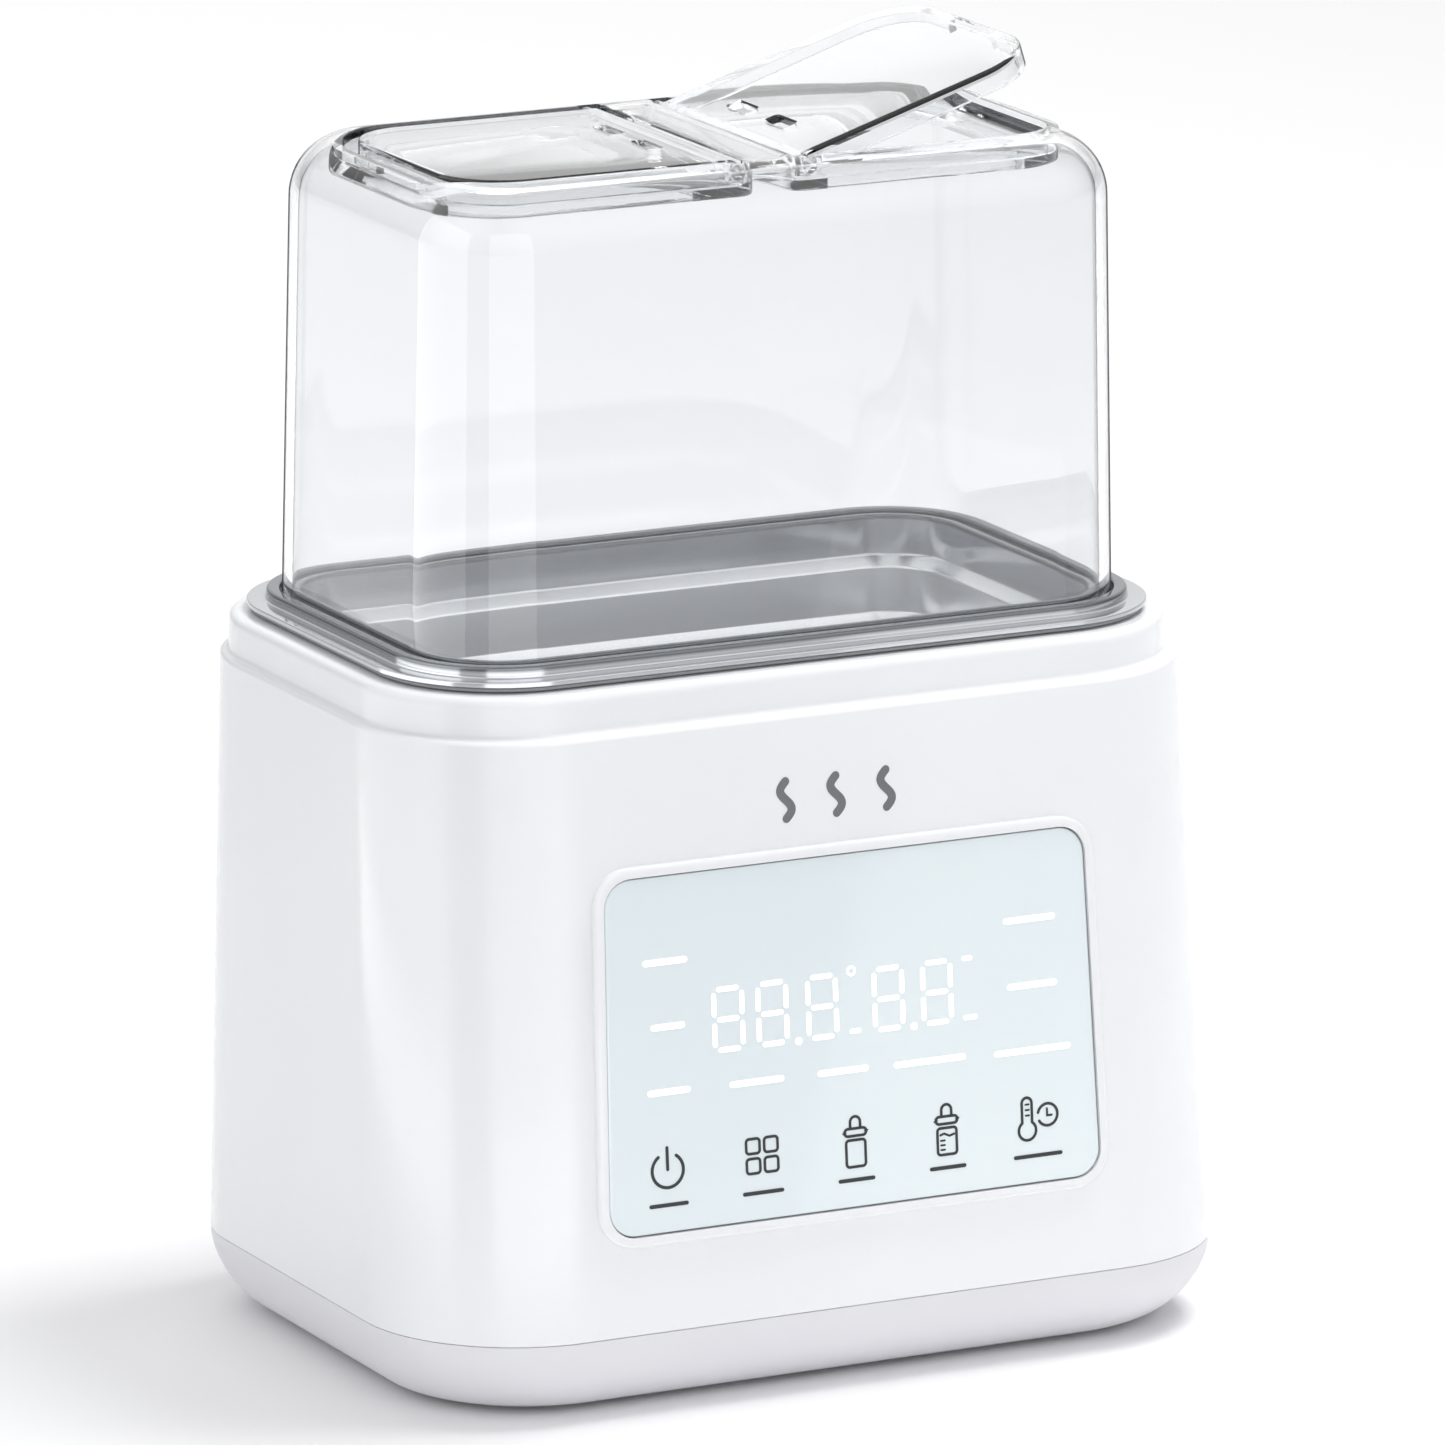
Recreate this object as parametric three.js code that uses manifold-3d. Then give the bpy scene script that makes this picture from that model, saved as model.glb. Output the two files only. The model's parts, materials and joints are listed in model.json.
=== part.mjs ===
// Two-bottle steam sterilizer: casing, steel bath, clear hood with two flap lids,
// touch panel and the works inside.
// Millimetres, +Z up, front towards -Y, standing on z = 0.
import * as THREE from "three";
import { mergeVertices } from "three/addons/utils/BufferGeometryUtils.js";
import Module from "manifold-3d";

const wasm = await Module();
wasm.setup();

// ---- Driving dimensions -------------------------------------------------------------------

// Casing
const bodyWidth = 200; // across the seam
const bodyDepth = 141;
const bodyCorner = 35; // radius of the upright corners
const seamHeight = 18.3; // from the table to the bottom edge of the casing
const ledgeHeight = 146.6; // from the table to the step below the collar
const sideLean = 3.0; // each side comes in by this much up to the ledge
const frontLean = 11.8; // the front leans back by this much up to the ledge
const shellWall = 2.5;
const ledgeRound = 1.0;
const collarSideInset = 2.2; // from the ledge's edge to the collar
const collarFrontInset = 4.0;
const collarBackInset = 1.5;
const collarHeight = 8.7;
const collarRound = 2.2;
const collarReach = 10.5; // the collar's top runs in this far under the steel flange
const cornerSegments = 6;

// Base tray and feet
const footHeight = 1.2; // the tray's height above the table
const footRadius = 8;
const footThickness = 3;
const seamGap = 0.4;
const trayCurveInset = 12.8; // how far the tray curves in before it meets the table
const trayCurvePower = 1.79;
const trayCurveSteps = 6;
const trayWall = 2.5;
const lipHeight = 4; // the tray's lip inside the casing

// Steel bath
const flangeInset = 3.9; // from the collar's edge to the flange's edge
const steelWall = 1.0;
const gasketThickness = 0.9;
const gasketInset = 0.8;
const gasketWidth = 5.2;
const beadInset = 4.2; // from the flange's edge to the bead
const beadWidth = 3.1;
const beadHeight = 2.4;
const beadRound = 0.7;
const rimWidth = 2.1; // raised rim inside the hood's foot
const rimHeight = 2.2;
const bathStepDepths = [6.8, 19.3]; // below the flange
const bathStepWidths = [3.0, 2.3];
const bathStepDrop = 2.3;
const bathFloorHeight = 51; // inside floor above the table
const bathFloorRadius = 6;
const bathDraft = 1.4;

// Clear hood
const hoodWall = 2.5;
const hoodRise = 102.3; // from the flange to the hood's top
const hoodTaper = 1.8; // each side comes in by this much up to the top edge's round
const hoodEdgeRadius = 14;
const hoodEdgeSteps = 5;
const slideGap = 0.3; // between pieces that touch or slide

// Hatches in the hood's top
const bridgeWidth = 12; // between the two hatches
const hatchSideMargin = 7.4; // from the hood's side to the hatch
const hatchFrontMargin = 15.3;
const hatchBackMargin = 13.7;
const hatchCorner = 16.6;
const hatchInnerCorner = 2;
const hatchWall = 2.2;
const hatchDepth = 5.7; // from the hood's top to the seat
const seatThickness = 2.0;
const seatMargin = 2.0; // the seat runs in this far past the lid's skirt line
const notchWidth = 5;

// Flap lids
const lidThickness = 1.8;
const lidSkirtWall = 1.8;
const lidSideGap = 1.8; // between the lid and the hatch wall
const fingerGap = 3.6; // at the lid's free end
const barrelRadius = 2.2;
const barrelGap = 0.4;
const lidSink = 0.2; // the closed lid lies this much below the hood's top
const lidPinRadius = 1.8;
const lidOpenAngle = 17.5; // degrees, of the right lid at rest
const ventLength = 9.5;
const ventWidth = 3.2;
const ventSpacing = 18;
const ventFromHinge = 8;
const fingerNotchWidth = 20;
const fingerNotchHeight = 2.4;

// Control panel
const glassSideMargin = 5.4; // from the glass to where the corner's round begins
const glassTaper = 0.9; // the glass narrows by this much on each side, from middle to top
const glassHeight = 76.3;
const glassAboveSeam = 21.3;
const glassCorner = 6;
const glassThickness = 2.0;
const glassProud = 1.2; // above the casing's front face
const glassGap = 0.35;
const frameWidth = 2.6;
const frameProud = 1.6;
const frameBevel = 1.0;
const glassLedge = 2.5; // the casing's ledge behind the glass
const keyCount = 5;
const keyEdgeMargin = 11.3; // from the side of the casing's window to the middle of the outer key
const keyBelowMiddle = 24.4;
const keyPadRadius = 5;
const guideMargin = 2; // from the edge of the casing's window to the light guide
const guideAboveKeys = 5;
const guideThickness = 6;
const digitBlock = { sideMargin: 14.8, height: 20, middle: 6.3 }; // sideMargin is from the light guide's side
const boardThickness = 1.6;
const boardMargin = 3; // from the glass's edge to the display board's edge
const buzzer = { radius: 6, height: 7, x: 36, y: -20 };

// Heater
const heaterPlate = { sideMargin: 7.4, endMargin: 2.4, corner: 12, thickness: 8 }; // in from the bath's floor
const heaterTubeRadius = 3.5;
const heaterTubeClearance = 6.5; // from the thermal cutout to the tube on each side
const heaterTubeEndMargin = 6; // from the plate's end to the tube's bend
const heaterTubeOverhang = 4; // of the tube's open ends past the plate
const bracketWidth = 12;
const bracketThickness = 1.5;
const bracketEnd = 6; // from the screw to the strap's end
const bracketPostRadius = 3.5;
const panelClearance = 1.5; // from the panel's works to the strap
const cutout = { radius: 8, height: 8, fromEnd: 10 }; // from the plate's left end
const sensor = { radius: 3, height: 9, fromEnd: 18 }; // from the plate's right end

// Screws
const screwShank = 1.3; // radius
const screwHead = 2.9; // radius
const screwHeadHeight = 2;
const threadGap = 0.3;
const columnRadius = 4.5;
const columnHeight = 19;
const columnFromCorner = { x: 3, y: 4.5 }; // from the corner round's centre
const ribThickness = 2.5;
const ribBite = 0.8; // the rib's end goes this far into the casing's wall
const baseScrewLength = 14;
const bracketScrewLength = 6.5;

// Power electronics
const powerBoard = { width: 92, depth: 54, lift: 5.5 };
const boardCorner = 2;
const postRadius = 2.5;
const postInset = 5;
const transformerSize = { core: [26, 20, 8], bobbin: [18, 24, 18], coreLift: 5, at: [-26, 8] };
const relaySize = { body: [19, 15.5, 15], at: [23, 13] };
const capacitorSize = { radius: 8, height: 14, groove: 0.8, top: 2, at: [21, -8] };
const fuseSize = { radius: 3, length: 20, at: [26, -21] };
const inletOpening = { fromCorner: 10, z: 34, width: 25, height: 13, depth: 16 };
const inletFlange = { grow: 4, thickness: 1.5 };
const inletWall = 1.5;
const bladeSpacing = 8.6;
const bladeThickness = 2.4;
const bladeRecess = 4; // from the casing's back face to the blade's tip

// Bottle rack
const rackGap = 2.0;
const rackLift = 3.5;
const rackThickness = 2.5;
const rackFootRadius = 3;
const rackHoleRadius = 3;
const rackHolesPerRing = 8;
const rackRingRadius = 19;
const rackTab = { width: 24, height: 22, thickness: 2 };

// ---- Heights and outlines that follow from them --------------------------------------------

const collarTop = ledgeHeight + collarHeight;
const flangeBottom = collarTop + slideGap + gasketThickness + slideGap;
const flangeTop = flangeBottom + steelWall;
const hoodBottom = flangeTop + slideGap;
const hoodTop = flangeTop + hoodRise;
const seatTop = hoodTop - hatchDepth;
const hingeHeight = hoodTop - lidSink - barrelRadius;
const panelTilt = Math.atan2(frontLean, ledgeHeight - seamHeight);

// A rounded rectangle at one height.
const ring = (halfX, front, back, radius, z) => ({ halfX, front, back, radius, z });

// The same rounded rectangle, moved in by a distance.
function inset(from, distance, z = from.z) {
  const radius = Math.max(from.radius - distance, 1);
  return ring(from.halfX - distance, from.front + distance, from.back - distance, radius, z);
}

// The casing's outer face at a height.
function bodyRing(z) {
  const t = (z - seamHeight) / (ledgeHeight - seamHeight);
  return ring(bodyWidth / 2 - sideLean * t, -bodyDepth / 2 + frontLean * t, bodyDepth / 2, bodyCorner, z);
}

const ledge = bodyRing(ledgeHeight);
const collar = ring(
  ledge.halfX - collarSideInset,
  ledge.front + collarFrontInset,
  ledge.back - collarBackInset,
  bodyCorner - collarSideInset,
  ledgeHeight,
);
const flange = inset(collar, flangeInset, flangeTop);
const middleY = (flange.front + flange.back) / 2;
const hoodFootInset = beadInset + beadWidth + slideGap;
const hoodTopRing = inset(flange, hoodFootInset + hoodTaper, hoodTop);

// Distances in from the flange's edge to what lies inside it
const grooveInset = beadInset + beadWidth;
const rimInset = grooveInset + slideGap + hoodWall + 2 * slideGap;
const rimEndInset = rimInset + rimWidth;
const bathSteps = bathStepDepths.map((depth, i) => {
  const upper = rimEndInset + bathStepWidths.slice(0, i).reduce((sum, width) => sum + width, 0);
  return { upper, lower: upper + bathStepWidths[i], z: flangeTop - depth };
});
const bathWall = inset(flange, bathSteps.at(-1).lower + bathDraft, bathFloorHeight);
const bathFloor = inset(bathWall, bathFloorRadius);
const plateHalfX = bathFloor.halfX - heaterPlate.sideMargin;
const plateHalfY = (bathFloor.back - bathFloor.front) / 2 - heaterPlate.endMargin;

// Where each hatch lies; the left one is its mirror image.
const hatch = {
  near: bridgeWidth / 2,
  far: hoodTopRing.halfX - hatchSideMargin,
  front: hoodTopRing.front + hatchFrontMargin,
  back: hoodTopRing.back - hatchBackMargin,
};
const hatchMiddleY = (hatch.front + hatch.back) / 2;
const hingeX = hatch.near + barrelGap + barrelRadius;
const lidLength = hatch.far - fingerGap - hingeX;
const lidHalfDepth = (hatch.back - hatch.front) / 2 - lidSideGap;

// ---- Solids ---------------------------------------------------------------------------------

function toSolid(geometry) {
  const bare = geometry.clone();
  bare.deleteAttribute("normal");
  bare.deleteAttribute("uv");
  const merged = mergeVertices(bare, 1e-4);
  return new wasm.Manifold(
    new wasm.Mesh({
      numProp: 3,
      vertProperties: merged.attributes.position.array,
      triVerts: new Uint32Array(merged.index.array),
    }),
  );
}

function toGeometry(solid) {
  const mesh = solid.getMesh();
  const geometry = new THREE.BufferGeometry();
  geometry.setAttribute("position", new THREE.BufferAttribute(mesh.vertProperties, 3));
  geometry.setIndex(new THREE.BufferAttribute(mesh.triVerts, 1));
  geometry.computeVertexNormals();
  return geometry;
}

const toSolidOnce = (piece) => (piece.isBufferGeometry ? toSolid(piece) : piece);
const join = (...pieces) => pieces.map(toSolidOnce).reduce((all, piece) => all.add(piece));

function cut(body, ...tools) {
  return tools.map(toSolidOnce).reduce((left, tool) => left.subtract(tool), toSolidOnce(body));
}

// The points of a rounded rectangle, anticlockwise from above.
function ringPoints({ halfX, front, back, radius, z }) {
  const corners = [
    [halfX - radius, back - radius],
    [radius - halfX, back - radius],
    [radius - halfX, front + radius],
    [halfX - radius, front + radius],
  ];
  return corners.flatMap(([x, y], quarter) =>
    Array.from({ length: cornerSegments + 1 }, (_, step) => {
      const angle = (quarter + step / cornerSegments) * (Math.PI / 2);
      return [x + radius * Math.cos(angle), y + radius * Math.sin(angle), z];
    }),
  );
}

// A skin through rings. An open loft ends in flat caps, and a closed one joins its last ring to its first.
function loft(rings, closed = false) {
  const positions = rings.flatMap(ringPoints);
  const count = 4 * (cornerSegments + 1);
  const faces = [];
  const spans = closed ? rings.length : rings.length - 1;
  for (let i = 0; i < spans; i++) {
    const lower = i * count;
    const upper = ((i + 1) % rings.length) * count;
    for (let k = 0; k < count; k++) {
      const next = (k + 1) % count;
      faces.push(lower + k, lower + next, upper + next, lower + k, upper + next, upper + k);
    }
  }
  if (!closed) {
    const last = (rings.length - 1) * count;
    for (let k = 1; k < count - 1; k++) {
      faces.push(0, k + 1, k);
      faces.push(last, last + k, last + k + 1);
    }
  }
  const geometry = new THREE.BufferGeometry();
  geometry.setAttribute("position", new THREE.Float32BufferAttribute(positions.flat(), 3));
  geometry.setIndex(faces);
  geometry.computeVertexNormals();
  return geometry;
}

function box(width, depth, height, x, y, z) {
  return new THREE.BoxGeometry(width, depth, height).translate(x, y, z + height / 2);
}

function upright(radius, height, x, y, z, sides = 12) {
  return new THREE.CylinderGeometry(radius, radius, height, sides)
    .rotateX(Math.PI / 2)
    .translate(x, y, z + height / 2);
}

function slab(shape, bottom, top) {
  const settings = { depth: top - bottom, bevelEnabled: false, curveSegments: 5 };
  return new THREE.ExtrudeGeometry(shape, settings).translate(0, 0, bottom);
}

// A polygon with each corner rounded by its own radius.
function roundedShape(corners) {
  const shape = new THREE.Shape();
  const points = corners.map(([x, y]) => new THREE.Vector2(x, y));
  points.forEach((point, i) => {
    const radius = corners[i][2];
    const before = points.at(i - 1).clone().sub(point).setLength(radius).add(point);
    const after = points[(i + 1) % points.length].clone().sub(point).setLength(radius).add(point);
    const centre = before.clone().add(after).sub(point);
    const start = Math.atan2(before.y - centre.y, before.x - centre.x);
    const end = Math.atan2(after.y - centre.y, after.x - centre.x);
    if (i === 0) shape.moveTo(before.x, before.y);
    else shape.lineTo(before.x, before.y);
    shape.absarc(centre.x, centre.y, radius, start, end, false);
  });
  return shape;
}

const rectangle = (x0, x1, y0, y1, radius) =>
  roundedShape([
    [x1, y0, radius],
    [x1, y1, radius],
    [x0, y1, radius],
    [x0, y0, radius],
  ]);

// ---- Casing ---------------------------------------------------------------------------------

// The glass's half width at its middle height, and the casing's window behind it.
const panelHeight = seamHeight + glassAboveSeam + glassHeight / 2;
const glassHalfWidth = bodyRing(panelHeight).halfX - bodyCorner - glassSideMargin;
const windowHalfWidth = glassHalfWidth - glassLedge;
const windowTop = glassHeight / 2 - glassLedge;

// The glass's outline in the panel's own plane, grown or shrunk by a distance.
function glassOutline(grow) {
  const halfHeight = glassHeight / 2 + grow;
  const radius = glassCorner + grow;
  const wide = glassHalfWidth + glassTaper + grow;
  const narrow = glassHalfWidth - glassTaper + grow;
  return roundedShape([
    [wide, -halfHeight, radius],
    [narrow, halfHeight, radius],
    [-narrow, halfHeight, radius],
    [-wide, -halfHeight, radius],
  ]);
}

// The panel's plane: x to the right, y up the leaning front, z out of it.
const panelPlace = new THREE.Matrix4()
  .makeRotationX(Math.PI / 2 - panelTilt)
  .setPosition(0, bodyRing(panelHeight).front, panelHeight);

// A screw column, and the rib that ties it to the casing's corner.
function columnAt(sideX, sideY) {
  const x = sideX * (bodyWidth / 2 - bodyCorner + columnFromCorner.x);
  const y = sideY * (bodyDepth / 2 - bodyCorner + columnFromCorner.y);
  return { x, y, sideX, sideY };
}
const columns = [
  { name: "front_left", ...columnAt(-1, -1) },
  { name: "front_right", ...columnAt(1, -1) },
  { name: "rear_left", ...columnAt(-1, 1) },
  { name: "rear_right", ...columnAt(1, 1) },
];

function casingColumn({ x, y, sideX, sideY }) {
  const bottom = seamHeight + seamGap;
  const ribBottom = bottom + lipHeight;
  const reach = bodyCorner - shellWall + ribBite - (columnFromCorner.x + columnFromCorner.y) / Math.SQRT2;
  const rib = box(reach, ribThickness, columnHeight - lipHeight, reach / 2, 0, 0)
    .rotateZ(Math.atan2(sideY, sideX))
    .translate(x, y, ribBottom);
  return join(upright(columnRadius, columnHeight, x, y, bottom), rib);
}

const inletX = bodyWidth / 2 - bodyCorner - inletOpening.fromCorner;
const plateBottom = bathFloorHeight - steelWall - slideGap - heaterPlate.thickness;
const tubeHeight = plateBottom - slideGap - heaterTubeRadius;
const bracketTop = tubeHeight - heaterTubeRadius - slideGap;
const behindPanel = ledge.front + glassThickness + guideThickness + boardThickness + panelClearance;
const beforeBoard = -powerBoard.depth / 2 - bracketPostRadius - slideGap;
const bracketScrewY = {
  front: Math.min(behindPanel + bracketEnd, beforeBoard),
  rear: bodyRing(seamHeight).back - trayCurveInset - trayWall - bracketPostRadius,
};

function housingShell() {
  const innerCollar = inset(collar, shellWall);
  const rings = [
    bodyRing(seamHeight),
    bodyRing((seamHeight + ledgeHeight) / 2),
    bodyRing(ledgeHeight - ledgeRound),
    inset(ledge, ledgeRound * 0.3, ledgeHeight - ledgeRound * 0.3),
    inset(ledge, ledgeRound),
    collar,
    inset(collar, 0, collarTop - collarRound),
    inset(collar, collarRound * 0.3, collarTop - collarRound * 0.3),
    inset(collar, collarRound, collarTop),
    inset(collar, collarReach, collarTop),
    inset(collar, collarReach, collarTop - shellWall),
    inset(innerCollar, 0, collarTop - shellWall),
    inset(innerCollar, 0, ledgeHeight - shellWall),
    inset(bodyRing(ledgeHeight - shellWall), shellWall),
    inset(bodyRing((seamHeight + ledgeHeight) / 2), shellWall),
    inset(bodyRing(seamHeight), shellWall),
  ];
  const frameSettings = {
    depth: frameProud + shellWall / 2 - frameBevel,
    bevelEnabled: true,
    bevelThickness: frameBevel,
    bevelSize: frameBevel,
    bevelOffset: -frameBevel,
    bevelSegments: 2,
    curveSegments: 5,
  };
  const frame = new THREE.ExtrudeGeometry(glassOutline(frameWidth), frameSettings)
    .translate(0, 0, -shellWall / 2)
    .applyMatrix4(panelPlace);
  const pocketFloor = glassProud - glassThickness - slideGap;
  const pocket = slab(glassOutline(glassGap), pocketFloor, 10).applyMatrix4(panelPlace);
  const window = slab(glassOutline(-glassLedge), -10, 10).applyMatrix4(panelPlace);
  const { width, height, z: inletZ } = inletOpening;
  const inletHole = box(width, 4 * shellWall, height, inletX, bodyDepth / 2, inletZ - height / 2);
  const holes = columns.map(({ x, y }) =>
    upright(screwShank + threadGap, baseScrewLength, x, y, seamHeight, 12),
  );
  const solid = join(loft(rings, true), frame, ...columns.map(casingColumn));
  return toGeometry(cut(solid, pocket, window, inletHole, ...holes));
}

// The tray's outer face: a superellipse from the seam down to the table.
function trayRing(step) {
  const top = seamHeight - seamGap;
  const angle = (step / trayCurveSteps) * (Math.PI / 2);
  const drop = (top - footHeight) * Math.sin(angle) ** (2 / trayCurvePower);
  const distance = trayCurveInset * (1 - Math.cos(angle) ** (2 / trayCurvePower));
  const at = inset(bodyRing(seamHeight), distance, top - drop);
  return { ...at, radius: bodyCorner - distance / 2 };
}

function baseCover() {
  const steps = Array.from({ length: trayCurveSteps + 1 }, (_, step) => step);
  const outside = steps.map((step) => trayRing(trayCurveSteps - step));
  const inside = steps.slice(1, -1).map((step) => inset(trayRing(step), trayWall));
  const floor = footHeight + trayWall;
  const top = seamHeight - seamGap;
  const lipOutside = shellWall + slideGap;
  const lipInside = lipOutside + trayWall * 0.7;
  const rings = [
    ...outside,
    inset(bodyRing(seamHeight), lipOutside, top),
    inset(bodyRing(top + lipHeight), lipOutside),
    inset(bodyRing(top + lipHeight), lipInside),
    inset(bodyRing(seamHeight), lipInside, top),
    ...inside.filter((at) => at.z > floor + 1),
    inset(trayRing(trayCurveSteps), trayWall, floor),
  ];
  const posts = boardCorners().map(([x, y]) => upright(postRadius, powerBoard.lift + 1, x, y, floor - 1, 10));
  const bosses = columns.map(({ x, y }) => upright(columnRadius, top - floor + 1, x, y, floor - 1));
  const strapBottom = bracketTop - bracketThickness;
  const bracketPosts = Object.values(bracketScrewY).map((y) =>
    upright(bracketPostRadius, strapBottom - slideGap - floor + 1, 0, y, floor - 1, 16),
  );
  const bracketHoles = Object.values(bracketScrewY).map((y) =>
    upright(screwShank + threadGap, bracketScrewLength, 0, y, strapBottom - bracketScrewLength, 12),
  );
  const holes = columns.flatMap(({ x, y }) => [
    upright(screwShank + threadGap, top, x, y, 0, 12),
    upright(screwHead + threadGap, footHeight + screwHeadHeight + 1, x, y, 0, 12),
  ]);
  const footHoles = feet.map(({ x, y }) =>
    upright(footRadius + slideGap, footHeight + trayWall / 2, x, y, 0, 20),
  );
  const solid = join(loft(rings), ...posts, ...bosses, ...bracketPosts);
  return toGeometry(cut(solid, ...holes, ...footHoles, ...bracketHoles));
}

const feet = columns.map(({ name, x, y, sideX, sideY }) => ({
  name: "foot_" + name,
  x: x - sideX * (footRadius + columnRadius + 2),
  y: y - sideY * 2,
}));

function foot({ x, y }) {
  const recess = footHeight + trayWall / 2 - slideGap;
  return upright(footRadius, Math.min(footThickness, recess), x, y, 0, 20);
}

// A pan-head screw that points up, with its head's underside at the origin.
function screw(length) {
  const profile = [
    [0, -screwHeadHeight],
    [screwHead * 0.8, -screwHeadHeight],
    [screwHead, -screwHeadHeight * 0.6],
    [screwHead, 0],
    [screwShank, 0],
    [screwShank, length - screwShank],
    [0, length],
  ].map(([r, z]) => new THREE.Vector2(r, z));
  return new THREE.LatheGeometry(profile, 12).rotateX(Math.PI / 2);
}

// ---- Steel bath -----------------------------------------------------------------------------

function steelBasin() {
  const at = (distance, z) => inset(flange, distance, z);
  const rings = [
    // In under the floor, then up the outside of each step
    inset(bathFloor, 0, bathFloorHeight - steelWall),
    inset(bathWall, bathFloorRadius * 0.2 - steelWall, bathFloorHeight - steelWall + bathFloorRadius * 0.35),
    inset(bathWall, -steelWall, bathFloorHeight + bathFloorRadius),
  ];
  for (const { upper, lower, z } of bathSteps.toReversed()) {
    rings.push(at(lower - steelWall, z - bathStepDrop - steelWall / 2));
    rings.push(at(upper - steelWall, z - steelWall / 2));
  }
  rings.push(at(rimEndInset - steelWall, flangeBottom));
  rings.push(at(0, flangeBottom));
  // The flange, the bead, the hood's groove and the inner rim
  rings.push(at(0, flangeTop));
  rings.push(at(beadInset, flangeTop));
  rings.push(at(beadInset + beadRound * 0.4, flangeTop + beadHeight - beadRound));
  rings.push(at(beadInset + beadRound * 1.4, flangeTop + beadHeight));
  rings.push(at(grooveInset - beadRound, flangeTop + beadHeight));
  rings.push(at(grooveInset, flangeTop + beadHeight - beadRound));
  rings.push(at(grooveInset, flangeTop));
  rings.push(at(rimInset, flangeTop));
  rings.push(at(rimInset, flangeTop + rimHeight - beadRound));
  rings.push(at(rimInset + beadRound, flangeTop + rimHeight));
  rings.push(at(rimEndInset - beadRound, flangeTop + rimHeight));
  rings.push(at(rimEndInset, flangeTop + rimHeight - beadRound));
  // Down the inside
  for (const { upper, lower, z } of bathSteps) {
    rings.push(at(upper, z));
    rings.push(at(lower, z - bathStepDrop));
  }
  rings.push(inset(bathWall, 0, bathFloorHeight + bathFloorRadius));
  rings.push(inset(bathWall, bathFloorRadius * 0.3, bathFloorHeight + bathFloorRadius * 0.3));
  rings.push(bathFloor);
  return loft(rings);
}

function basinGasket() {
  const bottom = collarTop + slideGap;
  const outer = inset(flange, gasketInset, bottom);
  const inner = inset(outer, gasketWidth, bottom);
  return loft(
    [outer, { ...outer, z: bottom + gasketThickness }, { ...inner, z: bottom + gasketThickness }, inner],
    true,
  );
}

function bottleRack() {
  const bottom = bathFloorHeight + slideGap;
  const plateZ = bottom + rackLift;
  const outline = inset(bathWall, rackGap);
  const edge = rectangle(-outline.halfX, outline.halfX, outline.front, outline.back, outline.radius);
  const y = (outline.front + outline.back) / 2;
  const footInset = rackFootRadius + 1 + bathFloor.radius * 0.3;
  const footX = bathFloor.halfX - footInset;
  const footY = (bathFloor.back - bathFloor.front) / 2 - footInset;
  const feetUnder = [-1, 1].flatMap((sx) =>
    [-1, 1].map((sy) => upright(rackFootRadius, rackLift + 1, sx * footX, y + sy * footY, bottom, 10)),
  );
  const tabs = [-1, 1].map((side) =>
    box(
      rackTab.thickness,
      rackTab.width,
      rackTab.height,
      side * (outline.halfX - rackTab.thickness / 2 - bathDraft),
      y,
      plateZ,
    ),
  );
  const holes = [-1, 1].flatMap((side) => {
    const x = (side * outline.halfX) / 2;
    const around = Array.from({ length: rackHolesPerRing }, (_, i) => {
      const angle = ((i + 0.5) / rackHolesPerRing) * 2 * Math.PI;
      return [x + rackRingRadius * Math.cos(angle), y + rackRingRadius * Math.sin(angle)];
    });
    return [[x, y], ...around].map(([hx, hy]) =>
      upright(rackHoleRadius, rackThickness + 2, hx, hy, plateZ - 1, 8),
    );
  });
  const plate = slab(edge, plateZ, plateZ + rackThickness);
  return toGeometry(cut(join(plate, ...feetUnder, ...tabs), ...holes));
}

// ---- Clear hood and lids --------------------------------------------------------------------

// The outline of a hatch, moved out from its wall by a distance. The inner side faces the bridge.
function hatchShape(grow, seat = 0) {
  const near = hatch.near - grow + (seat ? 2 * barrelRadius + barrelGap : 0);
  const far = hatch.far + grow - (seat ? fingerGap - lidSideGap : 0);
  const front = hatch.front - grow;
  const back = hatch.back + grow;
  const round = Math.max(hatchCorner + grow, 2);
  const small = Math.max(hatchInnerCorner + grow, 1);
  return roundedShape([
    [far, front, round],
    [far, back, round],
    [near, back, small],
    [near, front, small],
  ]);
}

function hoodShell() {
  const foot = inset(flange, hoodFootInset, hoodBottom);
  const straightTop = hoodTop - hoodEdgeRadius;
  const skin = (distance, bottomZ) => {
    const radius = hoodEdgeRadius - distance;
    const edge = Array.from({ length: hoodEdgeSteps + 1 }, (_, step) => {
      const angle = (step / hoodEdgeSteps) * (Math.PI / 2);
      const pull = distance + hoodTaper + radius * (1 - Math.cos(angle));
      return inset(foot, pull, straightTop + radius * Math.sin(angle));
    });
    return loft([inset(foot, distance, bottomZ), ...edge]);
  };
  let solid = cut(skin(0, hoodBottom), skin(hoodWall, hoodBottom - 1));
  const seatReach = lidSideGap + lidSkirtWall + seatMargin - slideGap;
  const seatBottom = seatTop - seatThickness;
  const overHinge = hingeHeight - lidPinRadius - slideGap;
  for (const turn of [0, Math.PI]) {
    const placed = (geometry) =>
      turn ? geometry.translate(0, -hatchMiddleY, 0).rotateZ(turn).translate(0, hatchMiddleY, 0) : geometry;
    const well = placed(slab(hatchShape(hatchWall), seatBottom, hoodTop - hoodWall / 2));
    const space = placed(slab(hatchShape(0), seatTop, hoodTop + 1));
    const throat = placed(slab(hatchShape(-seatReach, 1), seatBottom - 1, hoodTop));
    const notches = [hatch.front, hatch.back].map((edge) => {
      const outward = edge === hatch.front ? -1 : 1;
      const y = edge + (outward * hatchWall) / 2;
      return placed(box(notchWidth, hatchWall + 1.2, hoodTop - overHinge + 1, hingeX, y, overHinge));
    });
    solid = cut(join(solid, well), space, throat, ...notches);
  }
  return toGeometry(solid);
}

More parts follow.
